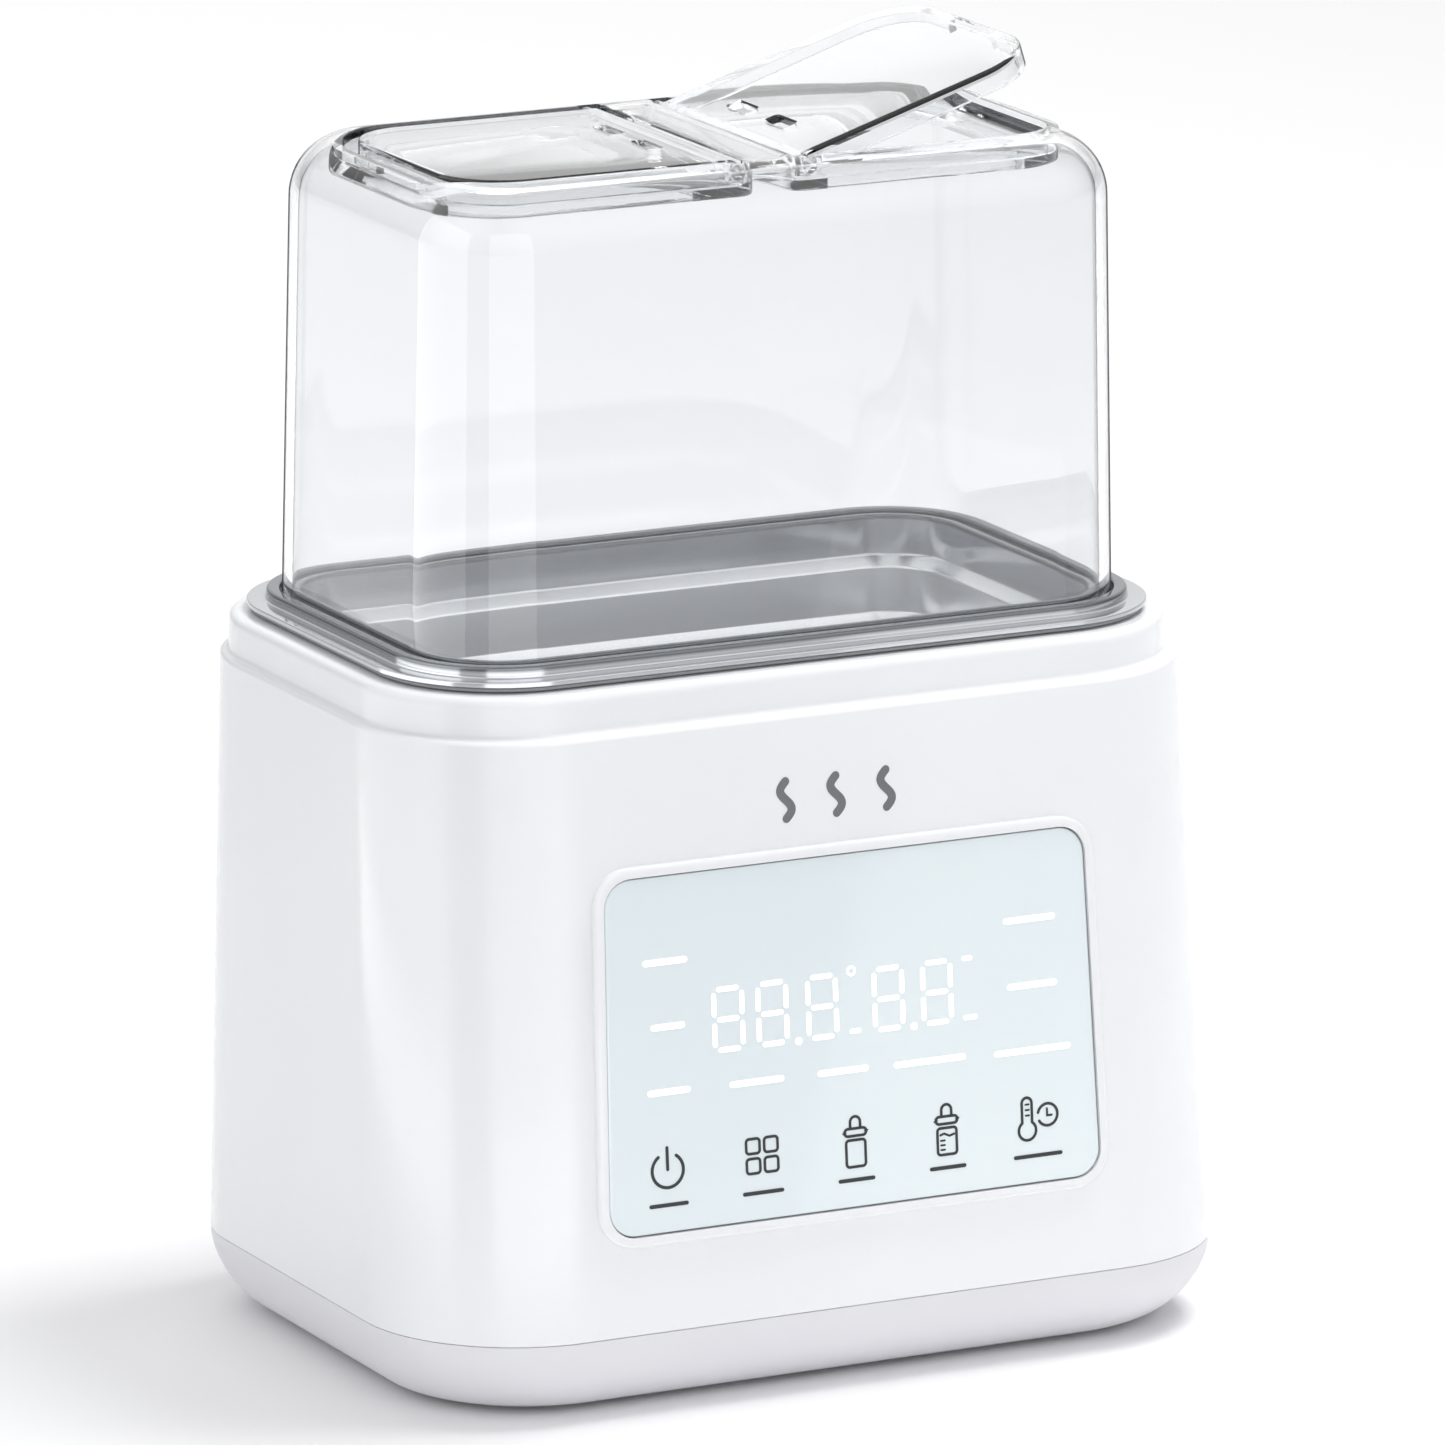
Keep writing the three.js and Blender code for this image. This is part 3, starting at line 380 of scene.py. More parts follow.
whiteAbs = mouldedPlastic("glossy_moulded_abs", "#f4f5f7", "#f0f1f4", (0.16, 0.22), 2.5, 0.002)
greyAbs = mouldedPlastic("satin_moulded_abs", "#e7e7eb", "#e2e2e7", (0.38, 0.5), 0.9, 0.006)
rubberFoot = mouldedPlastic("moulded_rubber", "#46474a", "#3a3b3e", (0.7, 0.85), 0.7, 0.02, 1.5)
siliconeSeal = mouldedPlastic("pressed_silicone", "#a6a8ab", "#9a9c9f", (0.45, 0.6), 0.8, 0.01, 1.41)
milkyPlastic = mouldedPlastic("moulded_polypropylene", "#f2f4f5", "#e9ecee", (0.3, 0.42), 1.2, 0.006, 1.49)
blackPlastic = mouldedPlastic("moulded_black_abs", "#26272a", "#1c1d1f", (0.35, 0.5), 0.8, 0.01)
bluePlastic = mouldedPlastic("moulded_blue_polyester", "#2f5596", "#274a87", (0.3, 0.4), 1.0, 0.006)
touchFoam = mouldedPlastic("conductive_foam", "#3c3d40", "#2a2b2e", (0.85, 0.95), 0.6, 0.12, 1.45)
ceramic = mouldedPlastic("glazed_steatite", "#efece5", "#e4e0d7", (0.2, 0.35), 0.9, 0.008, 1.6)
# the grey #505255 is painted shade for the dark edge lines of the hood and lids
hoodPlastic = clearPlastic("clear_moulded_tritan", "#f6f7f8", "#505255", (0.0, 0.03))
# the rim colour #c3c5c8 is painted shade that darkens the reflection in the flange
# the ring colour #74777b is a painted dark reflection on the top of the bead
steel = drawnSteel("drawn_and_brushed_stainless_steel", "#e8e9eb", "#c3c5c8", "#74777b", 0.09, 0.2, 1.2, 152, 159.3)
castAluminium = castMetal("die_cast_aluminium", "#b5b8bb", "#9da0a3", (0.4, 0.55), 0.8, 0.03)
platedSteel = castMetal("zinc_plated_steel", "#cdd0d2", "#b7babd", (0.25, 0.38), 1.2, 0.006)
brassMetal = castMetal("turned_brass", "#d6b66c", "#c5a257", (0.22, 0.34), 0.7, 0.005)
panelGlass = coatedGlass("back_painted_float_glass", "#e9f2f5", "#e2edf1")
whiteInk = printedInk("lit_white_print", "#ffffff", 0.35)
darkInk = printedInk("dark_enamel_print", "#26282b", 0.0)
greyInk = printedInk("grey_enamel_print", "#6c6e71", 0.0)
circuitBoard = circuitBoardMaterial("green_fr4_board")
print("materials made")

slotMaterials = {
    "white_abs": whiteAbs, "grey_abs": greyAbs, "rubber_foot": rubberFoot, "stainless_steel": steel,
    "silicone": siliconeSeal, "clear_plastic": hoodPlastic, "panel_glass": panelGlass,
    "milky_plastic": milkyPlastic, "black_plastic": blackPlastic, "touch_foam": touchFoam,
    "circuit_board": circuitBoard, "cast_aluminium": castAluminium, "plated_steel": platedSteel,
    "ceramic": ceramic, "brass": brassMetal, "blue_plastic": bluePlastic,
}


def dressFrame():
    # Each CAD piece that stays on show takes the finish of its slot in the record.
    for entry in frame["record"]["subparts"]:
        node = frame["nodes"][entry["node"]]
        node.data.materials.clear()
        node.data.materials.append(slotMaterials[entry["material_slot"]])


dressFrame()

# Casing

casing = {
    "corner": 35, "ledgeZ": 146.6, "sideLean": 3.0, "frontLean": 11.8, "wall": 2.5,
    "ledgeRound": 1.3, "collarSide": 2.2, "collarFront": 4.0, "collarBack": 1.5,
    "collarFillet": 1.0, "collarRound": 2.4, "collarReach": 10.5,
}
seamZ = casingLow.z / mm
collarZ = casingHigh.z / mm
frontY = casingLow.y / mm
backY = casingHigh.y / mm
halfWidth = casingHigh.x / mm


def casingLoop(across, z, steps=24):
    # The casing's outline at a height, moved in by a distance. It leans up to the ledge.
    lean = (min(z, casing["ledgeZ"]) - seamZ) / (casing["ledgeZ"] - seamZ)
    stepIn = min(max(across / casing["collarSide"], 0), 1)
    extra = max(across - casing["collarSide"], 0) + min(across, 0)
    halfX = halfWidth - casing["sideLean"] * lean - casing["collarSide"] * stepIn - extra
    front = frontY + casing["frontLean"] * lean + casing["collarFront"] * stepIn + extra
    back = backY - casing["collarBack"] * stepIn - extra
    radius = casing["corner"] - casing["collarSide"] * stepIn - extra
    return [Vector((x, y, z)) * mm for x, y in roundedBox(halfX, front, back, radius, steps)]


def straightLoop(inward, z):
    # The leaning outline moved in evenly, for the inside.
    lean = (min(z, casing["ledgeZ"]) - seamZ) / (casing["ledgeZ"] - seamZ)
    halfX = halfWidth - casing["sideLean"] * lean - inward
    front = frontY + casing["frontLean"] * lean + inward
    points = roundedBox(halfX, front, backY - inward, casing["corner"] - inward, 24)
    return [Vector((x, y, z)) * mm for x, y in points]


panelTilt = math.atan2(casing["frontLean"], casing["ledgeZ"] - seamZ)
panel = {
    "middleZ": 77.75, "height": 76.3, "taper": 0.9, "corner": 6, "thickness": 2.0, "proud": 1.2,
    "frameWidth": 2.6, "frameProud": 1.6, "frameRound": 1.2, "gap": 0.35, "ledge": 2.5,
}
panelLean = (panel["middleZ"] - seamZ) / (casing["ledgeZ"] - seamZ)
panelFrontY = frontY + casing["frontLean"] * panelLean
panelPlace = shift(0, panelFrontY, panel["middleZ"]) @ Matrix.Rotation(math.pi / 2 - panelTilt, 4, "X")
glassWide = glassHigh.x / mm


def glassOutline(grow):
    wide = glassWide + grow
    narrow = glassWide - 2 * panel["taper"] + grow
    tall = panel["height"] / 2 + grow
    radius = panel["corner"] + grow
    return roundedOutline([(wide, -tall, radius), (narrow, tall, radius), (-narrow, tall, radius),
                           (-wide, -tall, radius)], 12)


def makeCasing():
    wall = casing["wall"]
    reach = casing["collarSide"] + casing["collarReach"]
    inner = casing["collarSide"] + wall
    outside = filletPath([
        (0, seamZ, 0),
        (0, casing["ledgeZ"], casing["ledgeRound"]),
        (casing["collarSide"], casing["ledgeZ"], casing["collarFillet"]),
        (casing["collarSide"], collarZ, casing["collarRound"]),
        (reach, collarZ, 0.4),
        (reach, collarZ - wall, 0),
    ], 6)
    loops = [casingLoop(u, z) for u, z in outside]
    loops.append(casingLoop(inner, collarZ - wall))
    loops.append(casingLoop(inner, casing["ledgeZ"] - wall))
    loops.append(straightLoop(wall, casing["ledgeZ"] - wall))
    loops.append(straightLoop(wall, seamZ))
    shell = loft("casing", loops, closed=True)
    proud = panel["frameProud"]
    rim = filletPath([(panel["frameWidth"], -wall / 2, 0), (panel["frameWidth"], proud, panel["frameRound"]),
                      (0, proud, 0)], 6)
    frameBlock = place(prism("frame_block", glassOutline, rim), panelPlace)
    join(shell, frameBlock)
    floor = panel["proud"] - panel["thickness"] - 0.3
    pocket = place(prism("pocket", glassOutline, [(panel["gap"], floor), (panel["gap"], 10)]), panelPlace)
    window = place(prism("window", glassOutline, [(-panel["ledge"], -10), (-panel["ledge"], 10)]), panelPlace)
    hole = inletHole()
    return cut(shell, pocket, window, hole)


def inletHole():
    middle = (inletLow + inletHigh) / 2 / mm
    outline = lambda grow: roundedBox(12.5 + grow, -6.5 - grow, 6.5 + grow, 1 + grow, 4)
    hole = prism("inlet_hole", outline, [(0, -5), (0, 5)])
    return place(hole, shift(middle.x, backY, middle.z) @ Matrix.Rotation(math.pi / 2, 4, "X"))


finishPiece(makeCasing(), whiteAbs, "base", "white_abs", "housing_shell")
print("casing made")

# Base tray, feet and screws

tray = {"curveInset": 12.8, "curvePower": 1.79, "curveSteps": 20, "wall": 2.5, "lip": 4.0,
        "bottomZ": 1.2, "footRecess": 1.25, "screwRecess": 3.2}


def makeTray():
    top = seamZ - 0.15
    bottom = tray["bottomZ"]
    outside = []
    for step in range(tray["curveSteps"] + 1):
        angle = step / tray["curveSteps"] * math.pi / 2
        drop = (top - bottom) * math.sin(angle) ** (2 / tray["curvePower"])
        inward = tray["curveInset"] * (1 - max(math.cos(angle), 0) ** (2 / tray["curvePower"]))
        outside.append((inward, top - drop))
    seam = [(0.4, top), (0.08, top - 0.1)]

    def at(inward, z):
        radius = casing["corner"] - inward / 2
        points = roundedBox(halfWidth - inward, frontY + inward, backY - inward, radius, 24)
        return [Vector((x, y, z)) * mm for x, y in points]

    wall = tray["wall"]
    loops = [at(u, z) for u, z in reversed(outside)][:-1]
    loops += [at(u, z) for u, z in reversed(seam)]
    loops.append(at(wall + 0.3, top))
    loops.append(straightLoop(wall + 0.3, top + tray["lip"]))
    loops.append(straightLoop(wall + 2.05, top + tray["lip"]))
    loops.append(at(wall + 2.05, top))
    loops += [at(u + wall, z) for u, z in outside[1:] if z > bottom + wall + 0.6]
    loops.append(at(tray["curveInset"] + wall, bottom + wall))
    shell = loft("base_tray", loops)
    tools = []
    for name in footNames:
        low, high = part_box(name)
        middle = (low + high) / 2 / mm
        recess = lathe("recess", [(8.3, -1), (8.3, bottom + tray["footRecess"])], 48)
        tools.append(place(recess, shift(middle.x, middle.y, 0)))
    for name in baseScrewNames:
        middle = sum(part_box(name), Vector()) / 2 / mm
        bore = lathe("bore", [(3.2, -1), (3.2, bottom + tray["screwRecess"] - 0.2), (1.6, bottom + tray["screwRecess"] - 0.2),
                              (1.6, 12)], 32)
        tools.append(place(bore, shift(middle.x, middle.y, 0)))
    return cut(shell, *tools)


footNames = [name for name in frame["nodes"] if name.startswith("foot_")]
baseScrewNames = [name for name in frame["nodes"] if name.startswith("base_screw_")]
bracketScrewNames = [name for name in frame["nodes"] if name.startswith("bracket_screw_")]
finishPiece(makeTray(), greyAbs, "base", "grey_abs", "base_cover")


def makeFoot(name):
    low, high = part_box(name)
    radius = (high.x - low.x) / 2 / mm
    height = high.z / mm
    path = filletPath([(0.05, 0.35, 0), (radius * 0.55, 0.35, 0.2), (radius * 0.62, 0, 0.2), (radius, 0, 0.7),
                       (radius, height, 0.2), (0.05, height, 0)], 4)
    foot = lathe("rubber_" + name, path)
    middle = (low + high) / 2 / mm
    return place(foot, shift(middle.x, middle.y, 0))


for name in footNames:
    finishPiece(makeFoot(name), rubberFoot, "base", "rubber_foot", name)

screw = {"head": 2.9, "headHeight": 2.0, "shank": 1.3, "slot": 0.7, "slotDepth": 1.1}


def makeScrew(name, pointsUp):
    # A pan-head screw with a cross recess and a rolled thread.
    low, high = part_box(name)
    length = (high.z - low.z) / mm
    shaft = [(screw["shank"], screw["headHeight"])]
    turns = int((length - screw["headHeight"] - 1) / 0.9)
    for turn in range(turns):
        z = screw["headHeight"] + 0.5 + turn * 0.9
        shaft += [(screw["shank"], z), (screw["shank"] * 0.78, z + 0.45)]
    path = filletPath([(0.05, 0, 0), (screw["head"] * 0.8, 0, 0.4), (screw["head"], 1.0, 0.8),
                       (screw["head"], screw["headHeight"], 0.1), (screw["shank"], screw["headHeight"], 0)], 4)
    path += shaft[1:] + [(screw["shank"] * 0.78, length - 1.2), (0.05, length)]
    body = lathe("screw_" + name, path, 32)
    blades = []
    for halfX, halfY in ((1.7, screw["slot"] / 2), (screw["slot"] / 2, 1.7)):
        outline = lambda grow, a=halfX, b=halfY: roundedBox(a + grow, -b - grow, b + grow, 0.15, 2)
        blades.append(prism("cross", outline, [(0, -1), (-0.15, screw["slotDepth"])]))
    cut(body, *blades)
    middle = (low + high) / 2 / mm
    if pointsUp:
        return place(body, shift(middle.x, middle.y, low.z / mm))
    return place(body, shift(middle.x, middle.y, high.z / mm) @ Matrix.Rotation(math.pi, 4, "X"))


for name in baseScrewNames:
    finishPiece(makeScrew(name, True), platedSteel, "base", "plated_steel", name)
for name in bracketScrewNames:
    finishPiece(makeScrew(name, False), platedSteel, "base", "plated_steel", name)
print("tray, feet and screws made")

# Steel bath, gasket and rack

bath = {"corner": 28.9, "sheet": 1.0, "bead": (4.2, 7.3), "beadTop": 2.4, "rim": (10.7, 12.8), "rimTop": 2.2,
        "steps": ((12.8, 15.8, 6.8), (15.8, 18.1, 19.3)), "stepDrop": 2.3, "draft": 1.4, "floorRound": 6}
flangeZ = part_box("basin_gasket")[1].z / mm + 0.3 + bath["sheet"]


def flangeLoop(inward, z):
    radius = max(bath["corner"] - inward, 1.5)
    points = roundedBox(bathHigh.x / mm - inward, bathLow.y / mm + inward, bathHigh.y / mm - inward, radius, 20)
    return [Vector((x, y, z)) * mm for x, y in points]


def makeBath():
    sheet = bath["sheet"]
    floorZ = bathLow.z / mm + sheet
    beadZ = flangeZ + bath["beadTop"]
    rimZ = flangeZ + bath["rimTop"]
    section = [
        (0, flangeZ - sheet, 0), (-0.0, flangeZ, 0.35), (bath["bead"][0], flangeZ, 0.5),
        (bath["bead"][0], beadZ, 0.9), (bath["bead"][1], beadZ, 0.9), (bath["bead"][1], flangeZ, 0.2),
        (bath["rim"][0], flangeZ, 0.2), (bath["rim"][0], rimZ, 0.8), (bath["rim"][1], rimZ, 0.8),
    ]
    for outer, inner, drop in bath["steps"]:
        section.append((outer, flangeZ - drop, 0.9))
        section.append((inner, flangeZ - drop - bath["stepDrop"], 0.9))
    wallEnd = bath["steps"][-1][1] + bath["draft"]
    floorInset = wallEnd + bath["floorRound"]
    section.append((wallEnd, floorZ, bath["floorRound"]))
    section.append((floorInset + 3, floorZ, 0))
    under = [(floorInset + 3, floorZ - sheet), (floorInset - 1, floorZ - sheet), (wallEnd, floorZ + 1),
             (wallEnd - sheet, floorZ + bath["floorRound"])]
    for outer, inner, drop in reversed(bath["steps"]):
        under.append((inner - sheet, flangeZ - drop - bath["stepDrop"] - 0.5))
        under.append((outer - sheet, flangeZ - drop - 0.5))
    under.append((bath["rim"][1] - sheet, flangeZ - sheet))
    path = filletPath(section, 5)
    loops = [flangeLoop(u, z) for u, z in path]
    back = [flangeLoop(u, z) for u, z in under]
    return loft("steel_bath", back + loops)


finishPiece(makeBath(), steel, "base", "stainless_steel", "steel_basin", angle=50)


def makeGasket():
    low, high = gasketLow.z / mm, gasketHigh.z / mm
    middle = (low + high) / 2
    half = (high - low) / 2
    section = [(0.8 + half * (1 - math.cos(a)), middle + half * math.sin(a))
               for a in [math.pi * (k / 8 - 0.5) for k in range(9)]]
    section += [(6.0, high), (6.0, low)]
    return loft("bath_gasket", [flangeLoop(u, z) for u, z in section], closed=True)


finishPiece(makeGasket(), siliconeSeal, "base", "silicone", "basin_gasket")

rack = {"corner": 7.4, "plate": 2.5, "lift": 3.5, "hole": 3.0, "ring": 19, "count": 8,
        "tabWidth": 24, "tabThickness": 2.0, "footRadius": 3.0}


def makeRack():
    low, high = rackLow / mm, rackHigh / mm
    middleY = (low.y + high.y) / 2
    plateLow = low.z + rack["lift"]
    plateHigh = plateLow + rack["plate"]
    outline = lambda grow: roundedBox(high.x + grow, low.y - grow, high.y + grow, rack["corner"] + grow, 10)
    edge = filletPath([(-0.8, plateLow, 0), (0, plateLow + 0.5, 0.4), (0, plateHigh, 0.6), (-1.0, plateHigh, 0)], 4)
    plate = prism("bottle_rack_piece", outline, edge)
    extras = []
    for side in (-1, 1):
        tabX = side * (high.x - rack["tabThickness"] / 2 - 1.4)
        half = rack["tabThickness"] / 2
        tab = prism("tab", lambda grow: roundedBox(rack["tabWidth"] / 2 + grow, plateLow + 1 - grow, high.z + grow, 4, 6),
                    [(-0.4, -half), (0, -half + 0.4), (0, half - 0.4), (-0.4, half)])
        turn = Matrix.Rotation(math.pi / 2, 4, "Z") @ Matrix.Rotation(math.pi / 2, 4, "X")
        extras.append(place(tab, shift(tabX, middleY, 0) @ turn))
        for end in (-1, 1):
            x = side * (high.x - 12.5)
            y = middleY + end * ((high.y - low.y) / 2 - 12)
            extras.append(place(lathe("rack_foot", [(2.6, low.z), (3.0, low.z + 0.4), (3.0, plateLow + 1)], 24),
                                shift(x, y, 0)))
    join(plate, *extras)
    holes = []
    for side in (-1, 1):
        x = side * high.x / 2
        spots = [(x, middleY)]
        for k in range(rack["count"]):
            angle = (k + 0.5) / rack["count"] * 2 * math.pi
            spots.append((x + rack["ring"] * math.cos(angle), middleY + rack["ring"] * math.sin(angle)))
        for hx, hy in spots:
            bore = [(rack["hole"] + 0.6, plateLow - 1), (rack["hole"], plateLow + 0.5),
                    (rack["hole"], plateHigh - 0.5), (rack["hole"] + 1.0, plateHigh + 0.5)]
            holes.append(place(lathe("hole", bore, 24), shift(hx, hy, 0)))
    return cut(plate, *holes)


finishPiece(makeRack(), milkyPlastic, "rack", "milky_plastic", "bottle_rack")
print("bath, gasket and rack made")

# Clear hood

hood = {"wall": 2.5, "taper": 1.8, "edge": 14, "edgeSteps": 14, "corner": 21.3}
hatch = {"near": 6.0, "sideMargin": 7.4, "frontMargin": 15.3, "backMargin": 13.7, "corner": 16.6, "innerCorner": 2,
         "wall": 2.2, "depth": 5.7, "seat": 2.0, "seatReach": 5.3, "lip": 0.7, "notch": 5.0}
lid = {"thickness": 1.8, "skirt": 1.8, "sideGap": 1.8, "fingerGap": 3.6, "barrel": 2.2, "pin": 1.8,
       "vent": (9.5, 3.2), "ventSpacing": 18, "ventFromHinge": 8, "notch": (20, 2.4), "round": 0.7}
hoodTop = hoodHigh.z / mm
hoodTopFront = hoodLow.y / mm + hood["taper"]
hoodTopBack = hoodHigh.y / mm - hood["taper"]
hatchFar = hoodHigh.x / mm - hood["taper"] - hatch["sideMargin"]
hatchFront = hoodTopFront + hatch["frontMargin"]
hatchBack = hoodTopBack - hatch["backMargin"]
hinge = Vector(joints["right_lid_hinge"]["pos_m"]) / mm


def hoodSkin(name, inward, bottom):
    radius = hood["edge"] - inward
    path = [(inward, bottom)]
    for step in range(hood["edgeSteps"] + 1):
        angle = step / hood["edgeSteps"] * math.pi / 2
        path.append((inward + hood["taper"] + radius * (1 - math.cos(angle)),
                     hoodTop - hood["edge"] + radius * math.sin(angle)))
    loops = []
    for u, z in path:
        corner = max(hood["corner"] - u, 1)
        points = roundedBox(hoodHigh.x / mm - u, hoodLow.y / mm + u, hoodHigh.y / mm - u, corner, 20)
        loops.append([Vector((x, y, z)) * mm for x, y in points])
    return loft(name, loops)


def hatchOutline(side, seat=False):
    # The hatch's outline, moved out from its wall. The inner side faces the bridge.
    def outline(grow):
        near = hatch["near"] - grow + (2 * lid["barrel"] + 0.4 if seat else 0)
        far = hatchFar + grow - (lid["fingerGap"] - lid["sideGap"] if seat else 0)
        front = hatchFront - grow
        back = hatchBack + grow
        large = max(hatch["corner"] + grow, 2)
        small = max(hatch["innerCorner"] + grow, 1)
        points = roundedOutline([(far, front, large), (far, back, large), (near, back, small), (near, front, small)], 14)
        return [(side * x, y) for x, y in points]
    return outline


def makeHood():
    bottom = hoodLow.z / mm
    shell = cut(hoodSkin("hood", 0, bottom), hoodSkin("hood_inside", hood["wall"], bottom - 1))
    seatTop = hoodTop - hatch["depth"]
    seatBottom = seatTop - hatch["seat"]
    lip = hatch["lip"]
    wells, spaces = [], []
    for side in (-1, 1):
        well = filletPath([(0, seatBottom, 0), (hatch["wall"], seatBottom, 0.9),
                           (hatch["wall"], hoodTop - hood["wall"] / 2, 0)], 4)
        wells.append(prism("well", hatchOutline(side), well))
        space = [(-0.5, seatTop), (0, seatTop + 0.5)]
        space += [(lip * (1 - math.cos(a)), hoodTop - lip + lip * math.sin(a))
                  for a in [math.pi / 2 * k / 4 for k in range(5)]]
        space.append((lip, hoodTop + 1))
        spaces.append(prism("space", hatchOutline(side), space))
        reach = hatch["seatReach"]
        throat = [(-reach, seatBottom - 1), (-reach, hoodTop)]
        spaces.append(prism("throat", hatchOutline(side, True), throat))
        for edge, outward in ((hatchFront, -1), (hatchBack, 1)):
            y = edge + outward * hatch["wall"] / 2
            low = hinge.z - lid["pin"] - 0.3
            block = lambda grow, y=y: [(side * hinge.x + px, y + py) for px, py in
                                       roundedBox(hatch["notch"] / 2, -1.7, 1.7, 0.3, 2)]
            spaces.append(prism("notch", block, [(0, low), (0, hoodTop + 1)]))
    join(shell, *wells)
    return cut(shell, *spaces)


finishPiece(makeHood(), hoodPlastic, "hood", "clear_plastic", "clear_hood", angle=28)
print("hood made")

# Flap lids

lidLength = hatchFar - lid["fingerGap"] - hinge.x
lidHalf = (hatchBack - hatchFront) / 2 - lid["sideGap"]


def makeLid(name):
    # A lid about its hinge: the axis is x = 0, z = 0 along y, and its free end is at +x.
    skirtBottom = hoodTop - hatch["depth"] + 0.3 - hinge.z
    top = lid["barrel"]

    def outline(start):
        def at(grow):
            corner = max(hatch["corner"] - lid["sideGap"] + grow, 1)
            near = start - (grow if start > 0 else 0)
            return roundedOutline([(lidLength + grow, -lidHalf - grow, corner),
                                   (lidLength + grow, lidHalf + grow, corner),
                                   (near, lidHalf + grow, 0.5), (near, -lidHalf - grow, 0.5)], 14)
        return at

    edge = filletPath([(0, skirtBottom, 0), (0, top, lid["round"]), (-2, top, 0)], 5)
    plate = prism(name, outline(0), [(-0.25, skirtBottom), (0, skirtBottom + 0.25)] + edge[1:-1])
    turn = Matrix.Rotation(math.pi / 2, 4, "X")
    barrel = place(lathe("barrel", [(top - 0.3, -lidHalf), (top, -lidHalf + 0.3), (top, lidHalf - 0.3),
                                    (top - 0.3, lidHalf)], 32), turn)
    pinEnd = lidHalf + lid["sideGap"] + hatch["wall"]
    pins = place(lathe("pins", [(lid["pin"] - 0.4, -pinEnd), (lid["pin"], -pinEnd + 0.4), (lid["pin"], pinEnd - 0.4),
                                (lid["pin"] - 0.4, pinEnd)], 32), turn)
    join(plate, barrel, pins)
    under = top - lid["thickness"]
    hollow = [(-lid["skirt"], skirtBottom - 1), (-lid["skirt"], under - 0.5), (-lid["skirt"] - 0.5, under)]
    inside = prism("inside", outline(lid["barrel"] - lid["skirt"] + 0.01), hollow)
    clearance = prism("clearance", lambda grow: roundedBox(top, -lidHalf + lid["skirt"], lidHalf - lid["skirt"], 0.1, 2),
                      [(0, -top - 8), (0, -top)])
    tools = [inside, clearance]
    length, width = lid["vent"]
    for side in (-1, 1):
        y = side * lid["ventSpacing"] / 2
        slot = lambda grow, y=y: [(lid["ventFromHinge"] + px, y + py) for px, py in
                                  roundedBox(width / 2 + grow, -length / 2 - grow, length / 2 + grow, 1 + grow, 6)]
        tools.append(prism("vent", slot, [(0.3, under - 1), (0, under + 0.4), (0, top - 0.4), (0.5, top + 0.2)]))
    wide, tall = lid["notch"]
    grip = lambda grow: [(lidLength + px, py) for px, py in
                         roundedBox(2.7, -wide / 2 - grow, wide / 2 + grow, 0.5, 2)]
    tools.append(prism("grip", grip, [(0, skirtBottom - 1), (0, skirtBottom + tall * 0.6), (-1.2, skirtBottom + tall)]))
    return cut(plate, *tools)


for name, side in (("left_lid", -1), ("right_lid", 1)):
    joint = joints[name + "_hinge"]
    restAngle = -joint["range_deg"][0]
    turn = Matrix.Rotation(math.radians(-restAngle), 4, "Y")
    if side < 0:
        turn = Matrix.Rotation(math.pi, 4, "Z") @ turn
    piece = makeLid(name + "_piece")
    place(piece, shift(side * hinge.x, hinge.y, hinge.z) @ turn)
    finishPiece(piece, hoodPlastic, name, "clear_plastic", name, angle=28)
print("lids made")

# Touch panel

def makeGlass():
    low = panel["proud"] - panel["thickness"]
    path = filletPath([(0, low, 0), (0, panel["proud"], 0.35), (-1, panel["proud"], 0)], 4)
    return place(prism("panel_glass_piece", glassOutline, [(-0.3, low), (0, low + 0.3)] + path[1:]), panelPlace)


finishPiece(makeGlass(), panelGlass, "base", "panel_glass", "touch_glass")

ink = {"thickness": 0.06, "line": 0.62, "capSteps": 6}


def ribbon(points, width, closed=False):
    # A flat stroke along points, with mitred corners and round ends, as loops of its edge.
    path = [Vector(p) for p in points]
    half = width / 2
    left, right = [], []
    count = len(path)
    for i, here in enumerate(path):
        before = path[i - 1] if closed or i > 0 else None
        after = path[(i + 1) % count] if closed or i < count - 1 else None
        ways = [(b - a).normalized() for a, b in ((before, here), (here, after)) if a is not None and b is not None]
        way = sum(ways, Vector((0, 0))).normalized()
        stretch = 1 / max(way.dot(ways[0]), 0.5)
        side = Vector((-way.y, way.x)) * half * stretch
        left.append(here + side)
        right.append(here - side)
    if closed:
        return [left, right]
    steps = ink["capSteps"]
    startWay = (path[0] - path[1]).normalized()
    endWay = (path[-1] - path[-2]).normalized()

    def cap(centre, way):
        first = Vector((way.y, -way.x)) * half
        return [centre + Matrix.Rotation(math.pi * k / steps, 2) @ first for k in range(1, steps)]

    edge = right + cap(path[-1], endWay) + list(reversed(left)) + cap(path[0], startWay)
    return [edge]


def arc(x, y, radius, start, end, steps=14):
    return [(x + radius * math.cos(math.radians(start + (end - start) * k / steps)),
             y + radius * math.sin(math.radians(start + (end - start) * k / steps))) for k in range(steps + 1)]


def roundRect(x, y, halfX, halfY, radius):
    return [(x + px, y + py) for px, py in roundedBox(halfX, -halfY, halfY, radius, 4)]


